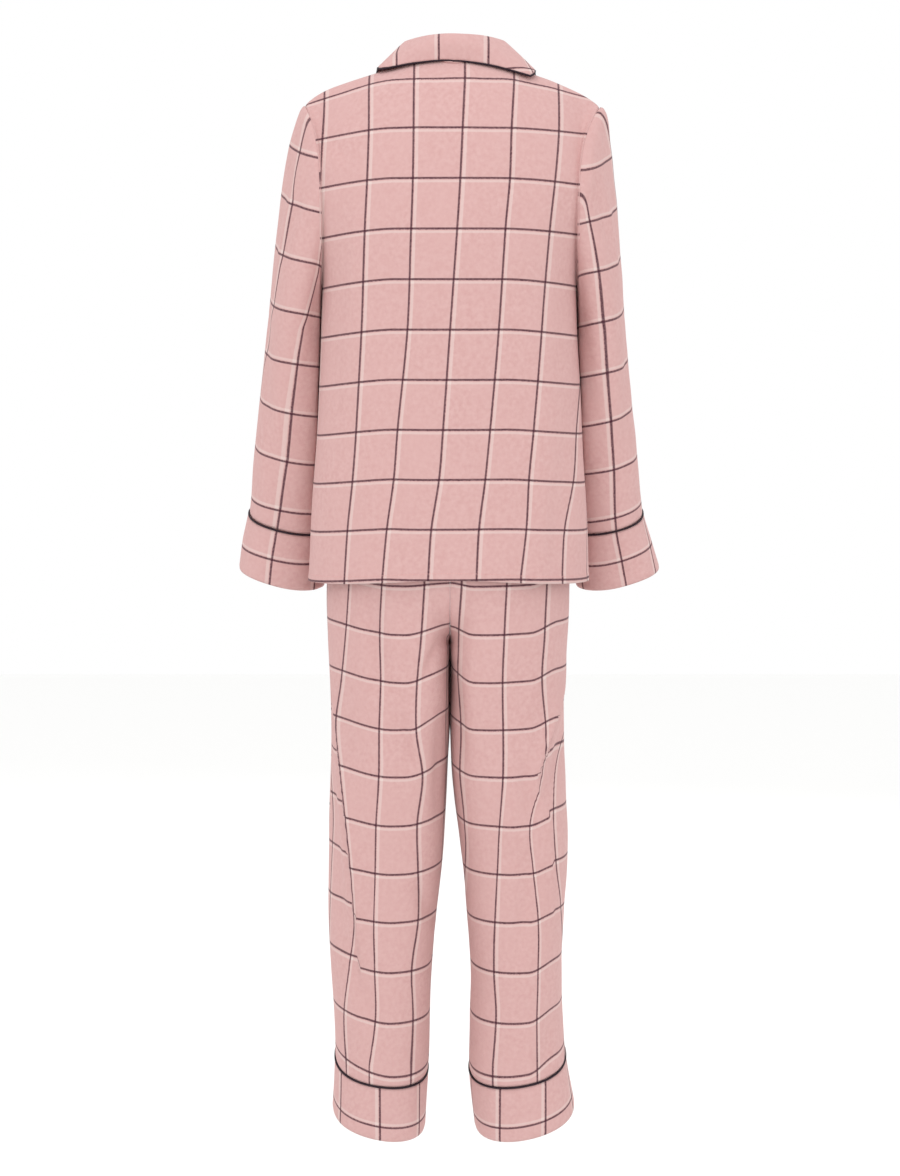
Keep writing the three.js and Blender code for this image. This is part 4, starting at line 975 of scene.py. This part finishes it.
# Each sleeve is one tube, sewn into the armhole with a little fullness at its head and hanging beside the
# body. A turned-back cuff of doubled flannel is sewn to its end over black piping, and its check runs on
# unbroken.
SLEEVE_RING_Z = -330
SLEEVE_END_Z = -675
SLEEVE_PIPING_Z = -600
PIPING_CLEARANCE = 0.2
PIPING_STEPS = 121
BODY_CLEARANCE = 1
SLEEVE_STRETCH = 0.35
ARM_SECTIONS = {
    "z": [-675, -640, -600, -530, -430, -330],
    "left": [286, 281, 272, 265, 253, 240],
    "right": [284, 273, 261, 253, 242, 231],
    "inner": [171, 170, 168, 164, 161, 163],
    "back": [-28, -26, -22, -6, 15, 38],
    "front": [-128, -128, -126, -128, -127, -122],
    "drop": [12, 12, 12, 11, 10, 10],
    "rise": [12, 12, 11, 10, 9, 9],
}
# Folds from (turn, level) to (turn, level): turn is 0 outside and 0.25 at the back, level 0 at the armhole
SLEEVE_FOLDS = [
    (0.2, 0.08, 0.17, 0.62, 0.022, -3.2),
    (0.15, 0.12, 0.14, 0.8, 0.028, 1.7),
    (0.09, 0.06, 0.1, 0.7, 0.03, -1),
    (0.3, 0.1, 0.22, 0.9, 0.03, 3),
    (0.33, 0.5, 0.27, 1.5, 0.03, -3.4),
    (0.12, 1.0, 0.2, 1.65, 0.03, -2.6),
    (0.8, 0.1, 0.8, 0.8, 0.03, -3.2),
    (0.9, 0.1, 0.88, 0.7, 0.025, 2.6),
    (0.72, 1.05, 0.8, 1.6, 0.035, -4.5),
    (0.66, 1.15, 0.72, 1.7, 0.03, 3.4),
]
# Where two lines of the check run down the back of each sleeve, as turns at each level
SLEEVE_LINES = {
    "left": {
        "level": [0, 0.3, 0.6, 0.9, 1.1, 1.3, 1.5, 1.7, 1.8, 2],
        "near": [0.342, 0.326, 0.305, 0.282, 0.263, 0.251, 0.245, 0.226, 0.214, 0.207],
        "far": [0.09, 0.163, 0.168, 0.165, 0.125, 0.04, 0.01, 0, 0, 0],
    },
    "right": {
        "level": [0, 0.2, 0.6, 0.96, 1.17, 1.35, 1.54, 1.73, 1.9, 2],
        "near": [0.246, 0.245, 0.244, 0.246, 0.238, 0.23, 0.226, 0.228, 0.224, 0.221],
        "far": [0.06, 0.02, 0.02, 0.01, 0, 0, 0, 0.03, 0.07, 0.08],
    },
}
# The heights of the check's level lines on each sleeve, which are numbered downwards, and how they slope
# round it
SLEEVE_LEVELS = {
    "left": {
        "z": [-708, -642, -575, -507, -441, -378, -312, -244, -179, -116, -52, 12],
        "out": [10, 10, 9, 12, 12, 11, 14, 14, 15, 15, 15, 15],
        "behind": [-10, -10, -9, -10, -11, -8, -8, -10, -11, -14, -14, -14],
    },
    "right": {
        "z": [-706, -641, -584, -518, -454, -391, -323, -258, -194, -130, -66, -2],
        "out": [13, 13, 12, 13, 15, 14, 16, 13, 12, 14, 14, 14],
        "behind": [-12, -12, -10, -11, -10, -8, -9, -9, -10, -13, -13, -13],
    },
}
SLEEVE_LINE_NUMBERS = [8, 7, 6, 5, 4, 3, 2, 1, 0, -1, -2, -3]
# How fast a sleeve swells out from the armhole, as a power of the way down: a low one is quick
HEAD_SWELL = {"left": 0.66, "right": 0.44, "below": 0.55}


def beside_body(side, points, clearance):
    """Keeps a sleeve outside the body's side."""
    x, y, z = points[..., 0], points[..., 1], points[..., 2]
    depth = np.where(y > 0, read(BODY_SECTIONS, "back", z), read(BODY_SECTIONS, "front", z))
    width = read(BODY_SECTIONS, side_name(side), z)
    share = np.maximum(0, 1 - (np.abs(y) / depth) ** ROUNDNESS)
    least = width * share ** (1 / ROUNDNESS) + clearance
    moved = np.where((z <= UNDERARM_Z) & (side * x < least), side * least, x)
    return np.stack([moved, y, z], axis=-1)


def arm_ring(side, turn, z):
    """The ring across the arm with its middle at a height."""
    angle = 2 * math.pi * turn
    columns = (side_name(side), "inner", "back", "front", "rise", "drop")
    outer, inner, back, front, rise, drop = (read(ARM_SECTIONS, column, z) for column in columns)
    radius = reach((back - front) / 2, (outer - inner) / 2, angle)
    x = side * ((outer + inner) / 2 + radius * np.cos(angle))
    y = (back + front) / 2 + radius * np.sin(angle)
    return np.stack([x, y, z + rise * np.cos(angle) - drop * np.sin(angle)], axis=-1)


def sleeve_form(side, turn, level):
    """A sleeve's form. level is 0 at the armhole, 1 at the first ring across the arm and 2 at its end."""
    turn, level = np.broadcast_arrays(np.asarray(turn, float), np.asarray(level, float))
    z = mix(SLEEVE_RING_Z, SLEEVE_END_Z, np.maximum(level - 1, 0))
    ring = beside_body(side, arm_ring(side, turn, z), BODY_CLEARANCE)
    angle = 2 * math.pi * turn
    height = np.clip((1 + np.cos(angle)) / 2, 0, 1)
    behind = np.sin(angle)[..., None] >= 0
    start = np.where(behind, body_form(1, side, height), body_form(-1, side, height))
    share = np.clip(level, 0, 1)
    swell = mix(HEAD_SWELL[side_name(side)], HEAD_SWELL["below"], smooth(share, 0, 0.2))
    out = np.maximum(share, 1e-9) ** swell * (share > 0)
    head = mix(start, ring, share[..., None])
    head[..., 0] = mix(start[..., 0], ring[..., 0], out) + side * 2 * HALF_GAP
    head = beside_body(side, head, mix(2 * HALF_GAP, BODY_CLEARANCE, smooth(share, 0, 0.3)))
    return np.where(level[..., None] >= 1, ring, head)


SLEEVE_LIMITS = ((-1, 2), (0, 2))


def sleeve_cloth(side, turn, level):
    """The sleeve with its folds, which stay clear of the armhole's seam."""
    turn, level = np.broadcast_arrays(np.asarray(turn, float), np.asarray(level, float))
    points = sleeve_form(side, turn, level)
    normal = -side * square_to(lambda a, b: sleeve_form(side, a, b), turn, level, SLEEVE_LIMITS)
    height = all_folds(SLEEVE_FOLDS, turn % 1, level, SLEEVE_STRETCH) * smooth(level, 0, 0.15)
    points = points + normal * height[..., None]
    return beside_body(side, points, mix(2 * HALF_GAP, 0.7 * BODY_CLEARANCE, smooth(level, 0, 0.3)))


def sleeve_level(z):
    return 1 + (z - SLEEVE_RING_Z) / (SLEEVE_END_Z - SLEEVE_RING_Z)


def sleeve_check(side, turn, level, points):
    """A sleeve's place in the weave, from two of its lines, with the off-white on the left and above."""
    lines, levels = SLEEVE_LINES[side_name(side)], SLEEVE_LEVELS[side_name(side)]
    ring = arc_along(sleeve_form(side, turn, np.maximum(level, 1)), 0)
    near, far = (np.interp(level[0], lines["level"], lines[line]) for line in ("near", "far"))
    outside, inside = at_place(near, turn, ring) - ring, CHECK + at_place(far, turn, ring) - ring
    between = CHECK * (near - turn) / (near - far)
    across = np.where(turn > near, outside, np.where(turn > far, between, inside))
    angle = 2 * math.pi * turn
    z = points[..., 2]
    z = z - read(levels, "out", z) * np.cos(angle) - read(levels, "behind", z) * np.sin(angle)
    down = CHECK * np.interp(z, levels["z"], SLEEVE_LINE_NUMBERS)
    return np.stack([-side * across, down], axis=-1)


PUCKERS = {"reach": 0.26, "spacing": 0.042, "stray": 0.012, "width": 0.011}


def head_puckers(turn, level, seed):
    """The fullness eased into the armhole: short soft puckers over the sleeve's head."""
    draw = np.random.default_rng(seed)
    total = np.zeros(turn.shape)
    for place in np.arange(-PUCKERS["reach"], PUCKERS["reach"], PUCKERS["spacing"]):
        centre = (place + draw.uniform(-PUCKERS["stray"], PUCKERS["stray"])) % 1
        away = np.abs((turn - centre + 0.5) % 1 - 0.5)
        length = draw.uniform(0.12, 0.3)
        ridge = np.exp(-((away / PUCKERS["width"]) ** 2))
        ridge = ridge * smooth(level, 0, 0.03) * (1 - smooth(level, 0.04, length))
        total += draw.uniform(0.6, 1.5) * ridge
    return total


def cuff_relief(points, seed):
    """A doubled cuff stands out from the cloth and is drawn in at its seam and at its pressed edge."""
    lift = 0.5 + uneven(points, seed, 0.3) + seam_dip(edge_distance(points, 1, False), 0.7)
    return lift + seam_dip(edge_distance(points, 1, True), 0.7, 1.1)


def make_tube(name, side, points, lift, check, node, thick=1.2):
    """A tube of cloth for a sleeve or a cuff, whose relief is the same on both sides of its joined edges."""
    lift[-1] = lift[0]
    cloth = relief(points, lift, -side)
    return make_cloth(name, cloth, check, [node], outward=-side, joined=True, thick=thick)


for name, side in SIDES.items():
    head = 1 - np.sin((1 - fractions(260)) * math.pi / 2)
    end = sleeve_level(SLEEVE_PIPING_Z + PIPING_RADIUS + PIPING_CLEARANCE)
    levels = np.concatenate([head, mix(1, end, fractions(270))[1:]])
    turn, level = np.meshgrid(fractions(430) - 0.5, levels, indexing="ij")
    points = sleeve_cloth(side, turn, level)
    lift = uneven(points, 30 + side, 0.4) * smooth(level, 0, 0.15) + head_puckers(turn, level, 32 + side)
    lift += seam_dip(edge_distance(points, 1, False), 0.8, 3) + seam_dip(edge_distance(points, 1, True), 0.7)
    check = sleeve_check(side, turn, level, points)
    sleeve = make_tube(f"sleeve_cloth_{name}", side, points, lift, check, f"sleeve_{name}")

    start = sleeve_level(SLEEVE_PIPING_Z - PIPING_RADIUS - PIPING_CLEARANCE)
    turn, level = np.meshgrid(fractions(430) - 0.5, mix(start, 2, fractions(78)), indexing="ij")
    points = sleeve_cloth(side, turn, level)
    check = sleeve_check(side, turn, level, points)
    lift = cuff_relief(points, 36 + side)
    cuff = make_tube(f"cuff_cloth_{name}", side, points, lift, check, f"sleeve_cuff_{name}", 2)

    turn = np.linspace(0, 1, PIPING_STEPS)
    middle = sleeve_cloth(side, turn, sleeve_level(SLEEVE_PIPING_Z))
    below = sleeve_cloth(side, turn, sleeve_level(SLEEVE_PIPING_Z) + 0.01)
    make_piping(f"sleeve_piping_cord_{name}", middle, below - middle, f"sleeve_piping_{name}", True)

# The trousers hang straight from the waist. Each leg has a back and a front panel, sewn together at the
# outside and inside seams, and the panels meet at the seat seam. Cloth is drawn into the crotch and stands in
# long folds.
CROTCH_Z = -752
SEAT_CURVE_HEIGHT = 112
THIGH_Z = -1020
WAIST_Z = -487
WAISTBAND_TOP = -452
GATHERS = 12
GATHER_DEPTH = 2.4
GATHER_FADE = 75
LEG_PIPING_Z = -1331
LEG_END_Z = -1404
SEAT_GAP = 0.05
LEG_SECTIONS = {
    "z": [-1404, -1331, -1270, -1190, -1120, -1040, -944, -876, -821, -752],
    "left": [160, 156, 157, 161, 164, 163, 161, 159, 160, 163],
    "right": [169, 157, 153, 151, 154, 158, 155, 153, 153, 156],
    "in_left": [34, 30, 27, 24, 18, 9, 4, 0.3, 0.05, 0.05],
    "in_right": [34, 26, 27, 28, 22, 15, 3.5, 0.3, 0.05, 0.05],
    "back": [70, 72, 75, 79, 83, 88, 95, 102, 109, 117],
    "front": [-66, -68, -70, -72, -75, -79, -84, -89, -94, -101],
    "drop": [16, 15, 8, 3, 0, 0, 0, 0, 0, 0],
    "rise": [14, 10, 4, 1, 0, 0, 0, 0, 0, 0],
    "square": [2.2, 2.2, 2.3, 2.3, 2.4, 2.5, 2.7, 3, 3.3, 3.7],
}
TRUNK_SECTIONS = {
    "z": [-752, -690, -600, -540, -487, -452],
    "left": [163, 164, 160, 150, 137, 134],
    "right": [156, 158, 156, 148, 137, 134],
    "back": [117, 118, 116, 107, 97, 95],
    "front": [101, 102, 102, 97, 91, 89],
}
SEAT_FOLDS = [
    (158, -835, 124, -1170, 13, 5.5),
    (168, -850, 141, -1150, 11, -8),
    (8, -736, 36, -792, 7, -6),
    (12, -835, 18, -985, 7, -4),
    (52, -830, 34, -915, 13, 5.2),
    (62, -835, 50, -910, 9, -5.2),
    (102, -655, 92, -810, 12, -6.2),
    (122, -1170, 106, -1260, 12, -5.6),
    (42, -1060, 24, -1130, 10, -4.6),
    (-152, -815, -112, -945, 13, 5.5),
    (-166, -840, -126, -950, 12, -8),
    (-138, -925, -136, -1120, 14, 3.6),
    (-6, -775, -15, -900, 8, -4.5),
    (-96, -905, -112, -985, 11, -5.4),
    (-74, -925, -84, -1020, 14, 4.6),
    (-104, -1020, -92, -1170, 12, -5),
    (-140, -1240, -128, -1330, 12, -5),
]
LAP_FOLDS = [
    (10, -740, 66, -690, 13, -3.6),
    (-10, -748, -70, -712, 13, -3.6),
    (22, -800, 60, -900, 15, 3.6),
    (-20, -805, -56, -890, 15, 3.6),
    (120, -900, 84, -1090, 17, -4.5),
    (-118, -920, -86, -1080, 17, -4.5),
    (96, -1190, 66, -1320, 16, -4),
    (-98, -1180, -70, -1310, 16, -4),
]
# Where each numbered line of the check runs down the back of each leg, and the heights of some of the level
# lines, which are numbered down from the one at the seat
LEG_LINES = {
    "left": {
        "z": [-1317, -1250, -1184, -1119, -1051, -986, -921, -858, -796, -732, -668],
        -1: [52, 49, 51, 42, 42, 43, 36, 44, 43, 37, 33],
        0: [108, 99, 100, 101, 99, 97, 93, 92, 90, 91, 88],
        1: [139, 142, 134, 127, 130, 136, 143, 150, 143, 136, 131],
    },
    "right": {
        "z": [-1317, -1250, -1184, -1119, -1051, -986, -921, -858, -796, -732, -668],
        -1: [-8, -8, -9, -14, -20, -19, -13, -14, -10, -11, -15],
        0: [-57, -61, -58, -59, -62, -65, -69, -69, -68, -70, -73],
        1: [-117, -116, -117, -117, -110, -105, -122, -125, -120, -123, -126],
        2: [-155, -154, -152, -149, -141, -137, -139, -160, -180, -182, -184],
    },
}
LEVEL_LINES_Z = [-1450, -1317, -1119, -921, -668, -605, -415]
LEVEL_LINES = [12, 10, 7, 4, 0, -1, -4]
CUFF_LINE_X = {"left": 93.6, "right": -67}
CUFF_LINE_Z = -1385


def gather_at(turn, z):
    """The elastic waist's gathers, which fade out below it."""
    return GATHER_DEPTH * (1 - smooth(WAIST_Z - z, 0, GATHER_FADE)) * np.cos(math.pi * GATHERS * turn)


def leg_form(side, turn, z):
    """The trousers' form. Above the crotch, half a leg opens out into a quarter of the trunk."""
    turn, z = np.broadcast_arrays(np.asarray(turn, float), np.asarray(z, float))
    angle = 2 * math.pi * turn
    behind = turn <= 0.5
    width_column = side_name(side)
    columns = (width_column, "in_" + width_column, "back", "front", "square", "rise", "drop")
    below = np.minimum(z, CROTCH_Z)
    outer, inner, back, front, square, rise, drop = (read(LEG_SECTIONS, column, below) for column in columns)
    depth = np.where(behind, back, -front)
    roundness = mix(ROUNDNESS, square, smooth(-np.cos(angle), -0.3, 0.5))
    radius = reach(depth, (outer - inner) / 2, angle, roundness)
    leg_x = (outer + inner) / 2 + radius * np.cos(angle)
    leg_y = radius * np.sin(angle)
    leg_z = z + rise * np.cos(angle) - drop * np.sin(angle)
    half = np.where(behind, angle / 2, math.pi - angle / 2)
    quarter = mix(np.arccos(np.clip((1 + np.cos(angle)) / 2, -1, 1)), half, 0.2)
    above = z > CROTCH_Z
    trunk_width = np.where(above, read(TRUNK_SECTIONS, width_column, z), outer)
    trunk_back = np.where(above, read(TRUNK_SECTIONS, "back", z), depth)
    trunk_front = np.where(above, read(TRUNK_SECTIONS, "front", z), depth)
    trunk = reach(np.where(behind, trunk_back, trunk_front), trunk_width, quarter) + gather_at(turn, z)
    joined = smooth(z, THIGH_Z, CROTCH_Z) * (1 - smooth(-np.cos(angle), -0.2, 1))
    up = np.clip((z - CROTCH_Z) / SEAT_CURVE_HEIGHT, 0, 1)
    seamward = (1 - np.cos(angle)) / 2
    opened = mix(joined, 1, (1 - (1 - up) ** 2) ** mix(1.6, 0.5, seamward**2))
    x = mix(leg_x, trunk * np.cos(quarter), opened)
    y = mix(leg_y, np.where(behind, 1, -1) * trunk * np.sin(quarter), opened)
    return np.stack([side * (x + SEAT_GAP), y, leg_z], axis=-1)


def leg_cloth(side, turn, z, limits, folds):
    """The trousers with their folds, which fade out towards the seams between back and front."""
    turn, z = np.broadcast_arrays(np.asarray(turn, float), np.asarray(z, float))
    points = leg_form(side, turn, z)
    normal = side * square_to(lambda a, b: leg_form(side, a, b), turn, z, limits)
    to_seam = np.minimum(np.minimum(turn, 1 - turn), np.abs(turn - 0.5)) * 2
    height = all_folds(folds, points[..., 0], points[..., 2]) * smooth(to_seam, 0, 0.12)
    points = points + normal * height[..., None]
    points[..., 0] = side * np.maximum(side * points[..., 0], SEAT_GAP)
    return points


# Down the outside of each leg a long fold overlaps the cloth beyond it: its edge, and how much it hides
LAPPED_FOLDS = {
    "left": {
        "z": [-1230, -1175, -1110, -987, -904, -831, -770],
        "x": [116, 121, 127, 139, 148, 157, 163],
        "hidden": [0, 12, 17, 19, 17, 10, 0],
    },
    "right": {
        "z": [-1160, -1075, -983, -933, -867, -818, -770],
        "x": [-139, -137, -134, -117, -137, -152, -158],
        "hidden": [0, 4, 7, 12, 24, 14, 0],
    },
}
LAP_SHAPE = {"height": 0.17, "edge": 1.6, "under": 9, "over": 13}


def past_lap(side, points):
    """How far each point is beyond the lapped fold's edge, and how much cloth the fold hides there."""
    lap = LAPPED_FOLDS[side_name(side)]
    z = points[..., 2]
    return side * (points[..., 0] - read(lap, "x", z)), read(lap, "hidden", z)


def lap_relief(side, points):
    """The lapped fold stands out on its near side and drops to the cloth that it covers."""
    past, hidden = past_lap(side, points)
    fade = np.where(past > 0, LAP_SHAPE["under"], LAP_SHAPE["over"])
    step = np.tanh(past / LAP_SHAPE["edge"]) * np.exp(-np.abs(past) / fade)
    return -LAP_SHAPE["height"] * hidden * step


# How far the level lines rise towards the seam between the legs, at each height
SEAT_RISE = {
    "z": [-1130, -1051, -986, -921, -858, -796, -732, -668, -620],
    "left": [0, 5, 8, 15, 22, 16, 12, 5, 3],
    "right": [0, 3, 5, 8, 9, 12, 8, 5, 3],
}


SEAT_RISE_WIDTH = {"left": 60, "right": 30}
# How far the level lines rise towards the outside seam, between two distances from the middle
OUTER_RISE = {"height": 11, "left": (76, 162), "right": (104, 142)}


def leg_levels(side, points, ring_z):
    """How many repeats of the check each point of a leg lies above the level line at the seat."""
    x, name = side * points[..., 0], side_name(side)
    level = ring_z - read(SEAT_RISE, name, ring_z) * (1 - smooth(x, 0, SEAT_RISE_WIDTH[name]))
    level = level - OUTER_RISE["height"] * smooth(x, *OUTER_RISE[name])
    past, hidden = past_lap(side, points)
    level = level - hidden * smooth(past, -1, 1) * (points[..., 1] > 0)
    return -np.interp(-level, -np.array(LEVEL_LINES_Z[::-1]), LEVEL_LINES[::-1])


def leg_back_check(side, points, ring_z):
    x, z = side * points[..., 0], points[..., 2]
    across = across_lines(x, arc_along(points, 0), LEG_LINES[side_name(side)], z, side, -1)
    return np.stack([side * across, CHECK * leg_levels(side, points, ring_z)], axis=-1)


LEG_MIDDLE = 88


def leg_front_check(side, points, ring_z):
    arc = arc_along(points, 0)
    x = np.maximum.accumulate(side * points[..., 0], axis=0)
    middle = at_place(LEG_MIDDLE, x, arc)
    return np.stack([side * (arc - middle), CHECK * leg_levels(side, points, ring_z)], axis=-1)


PANELS = {
    "back": {"turns": (0, 0.5), "folds": SEAT_FOLDS, "seed": 40, "area": 0.215, "check": leg_back_check},
    "front": {"turns": (0.5, 1), "folds": LAP_FOLDS, "seed": 44, "area": 0.198, "check": leg_front_check},
}
PANEL_GAP = 0.0006
UNDER_PIPING = 0.6
SEAT_Z = CROTCH_Z + SEAT_CURVE_HEIGHT
# Where the two legs' edges are sewn together and the thighs touch, in height and in turns from the inside
# seam
JOINED = {"from_z": -900, "to_z": -860, "none": 0.035, "full": 0.008}
for name, side in SIDES.items():
    for which, panel in PANELS.items():
        first, last = panel["turns"]
        # Rows lie closer towards the crotch, where the seam turns under
        left = 1 - fractions(130)
        opening = SEAT_Z + (CROTCH_Z - SEAT_Z) * mix(left, np.sin(left * math.pi / 2), 0.7)
        bottom = mix(LEG_PIPING_Z + PIPING_RADIUS - UNDER_PIPING, CROTCH_Z, fractions(580))
        rows = np.concatenate([bottom, opening[1:], mix(SEAT_Z, WAIST_Z, fractions(155))[1:]])
        turns = mix(first + PANEL_GAP, last - PANEL_GAP, fractions(250))
        turn, z = np.meshgrid(turns, rows, indexing="ij")
        points = leg_cloth(side, turn, z, (panel["turns"], (LEG_END_Z, WAIST_Z)), panel["folds"])
        lift = uneven(points, panel["seed"] + side, 0.5)
        if which == "back":
            lift += lap_relief(side, points)
        for axis, end in ((0, False), (0, True), (1, False)):
            lift += seam_dip(edge_distance(points, axis, end))
        cloth = relief(points, lift, side)
        joined = smooth(z, JOINED["from_z"], JOINED["to_z"])
        joined = joined * smooth(np.abs(turn - 0.5), JOINED["none"], JOINED["full"])
        cloth[..., 0] = mix(cloth[..., 0], points[..., 0], joined)
        check = panel["check"](side, points, z)
        leg = make_cloth(f"leg_cloth_{which}_{name}", cloth, check, [f"leg_{which}_{name}"], outward=side)

    # The leg's cuff is cut on its own, so its lines don't meet the leg's, and it is turned up over the piping
    heights = mix(LEG_PIPING_Z - PIPING_RADIUS - PIPING_CLEARANCE, LEG_END_Z, fractions(74))
    turn, z = np.meshgrid(fractions(430), heights, indexing="ij")
    limits = ((-1, 2), (LEG_END_Z - 1, WAIST_Z))
    points = leg_cloth(side, turn, z, limits, [])
    arc, half = arc_along(points, 0), len(points) // 2
    start = at_place(-side * CUFF_LINE_X[name], -side * points[:half, :, 0], arc[:half])
    check = np.stack([side * (arc - start), CUFF_LINE_Z - z], axis=-1)
    lift = cuff_relief(points, 50 + side)
    leg_cuff = make_tube(f"leg_cuff_cloth_{name}", side, points, lift, check, f"leg_cuff_{name}", 2)

    turn = np.linspace(0, 1, PIPING_STEPS)
    middle = leg_cloth(side, turn, LEG_PIPING_Z, limits, [])
    below = leg_cloth(side, turn, LEG_PIPING_Z - 1, limits, [])
    make_piping(f"leg_piping_cord_{name}", middle, below - middle, f"leg_piping_{name}", True)

# The waistband is a doubled band round the waist, under the shirt. It is drawn up over a wide elastic that
# rows of stitches hold, so it stands in small gathers.
WAISTBAND_STITCH_ROWS = (-478, -466, -457)
WAISTBAND_GAP = 0.3
GATHERED_IN = 1.1
heights = mix(WAIST_Z + WAISTBAND_GAP, WAISTBAND_TOP, fractions(36))
angle, z = np.meshgrid(2 * math.pi * fractions(760), heights, indexing="ij")
depth = np.where(np.sin(angle) > 0, read(TRUNK_SECTIONS, "back", z), read(TRUNK_SECTIONS, "front", z))
width = np.where(np.cos(angle) > 0, read(TRUNK_SECTIONS, "left", z), read(TRUNK_SECTIONS, "right", z))
radius = reach(depth, width, angle) + GATHER_DEPTH * np.cos(GATHERS * angle)
# Smaller gathers, unevenly spaced, stand on the main ones
radius += 0.5 * np.sin(47 * angle + 2 * np.sin(angle * 5))
for row_z in WAISTBAND_STITCH_ROWS:
    radius += seam_dip(z - row_z, 0.7, 1.2)
points = np.stack([radius * np.cos(angle), radius * np.sin(angle), z], axis=-1)
gathered = np.stack([arc_along(points, 0) * GATHERED_IN, z], axis=-1)
waistband = make_cloth("waistband_cloth", points, gathered, ["waistband"], joined=True, thick=2.1)

# The shirt's hem is turned up and held by a row of lock stitches in pink thread, a little above the edge.
# They are laid along the back, and on the fronts the row shows as a groove.
STITCH = {"length": 2.6, "gap": 1.1, "radius": 0.32}


def stitch_row(name, path):
    """A row of stitches along a line of places, each a short rounded strand sunk into the cloth."""
    length = arc_along(path[:, None], 0)[:, 0]
    maker = bmesh.new()
    for start in np.arange(1, length[-1] - STITCH["length"], STITCH["length"] + STITCH["gap"]):
        ends = [
            Vector([np.interp(place, length, path[:, axis]) for axis in range(3)])
            for place in (start, start + STITCH["length"])
        ]
        strand = bmesh.ops.create_uvsphere(maker, u_segments=6, v_segments=5, radius=1)["verts"]
        bmesh.ops.scale(maker, verts=strand, vec=(STITCH["radius"], STITCH["radius"], STITCH["length"] / 2))
        along = (ends[1] - ends[0]).to_track_quat("Z", "Y").to_matrix()
        bmesh.ops.rotate(maker, verts=strand, matrix=along)
        bmesh.ops.translate(maker, verts=strand, vec=(ends[0] + ends[1]) / 2)
    add_solid(maker, name, pink_thread)


height = arc_along(back_cloth, 1).T
hem_line = [at_place(HEM_STITCH, height, back_cloth[..., axis].T) for axis in range(3)]
stitch_row("back_hem_stitches", np.stack(hem_line, axis=-1))

# The floor and backdrop are plain and pale. The light is soft and even, from big panels on both sides of the
# camera, one above the set and one beyond it.
FLOOR_Z = -1.75
floor_maker = bmesh.new()
bmesh.ops.create_grid(floor_maker, x_segments=1, y_segments=1, size=6)
bmesh.ops.translate(floor_maker, verts=floor_maker.verts, vec=(0, 0, FLOOR_Z))
floor_mesh = bpy.data.meshes.new("floor")
floor_maker.to_mesh(floor_mesh)
floor_maker.free()
floor = bpy.data.objects.new("floor", floor_mesh)
bpy.context.scene.collection.objects.link(floor)
paper, tree, shader = new_material("matt_white_paper")
set_sockets(tree, shader, {"Base Color": linear("#fbfbfa"), "Roughness": 0.9})
floor_mesh.materials.append(paper)

world = bpy.data.worlds.new("studio")
bpy.context.scene.world = world
world.use_nodes = True
set_sockets(world.node_tree, world.node_tree.nodes["Background"], {"Color": (1, 1, 1, 1), "Strength": 1})
LIGHTS = {
    "panel_left": {"at": (1.9, 2.9, 0.7), "size": 1.6, "watts": 15},
    "panel_right": {"at": (-2.1, 2.7, 0.5), "size": 1.6, "watts": 10},
    "panel_above": {"at": (0.1, 0.9, 2.2), "size": 1.8, "watts": 12},
    "panel_front": {"at": (-0.6, -3.1, 0.5), "size": 1.8, "watts": 14},
}
for name, light in LIGHTS.items():
    lamp_data = bpy.data.lights.new(name, "AREA")
    lamp_data.size = light["size"]
    lamp_data.energy = light["watts"]
    lamp = bpy.data.objects.new(name, lamp_data)
    lamp.location = light["at"]
    lamp.rotation_euler = (MIDDLE - lamp.location).to_track_quat("-Z", "Y").to_euler()
    bpy.context.scene.collection.objects.link(lamp)
bpy.context.scene.view_settings.view_transform = "Standard"
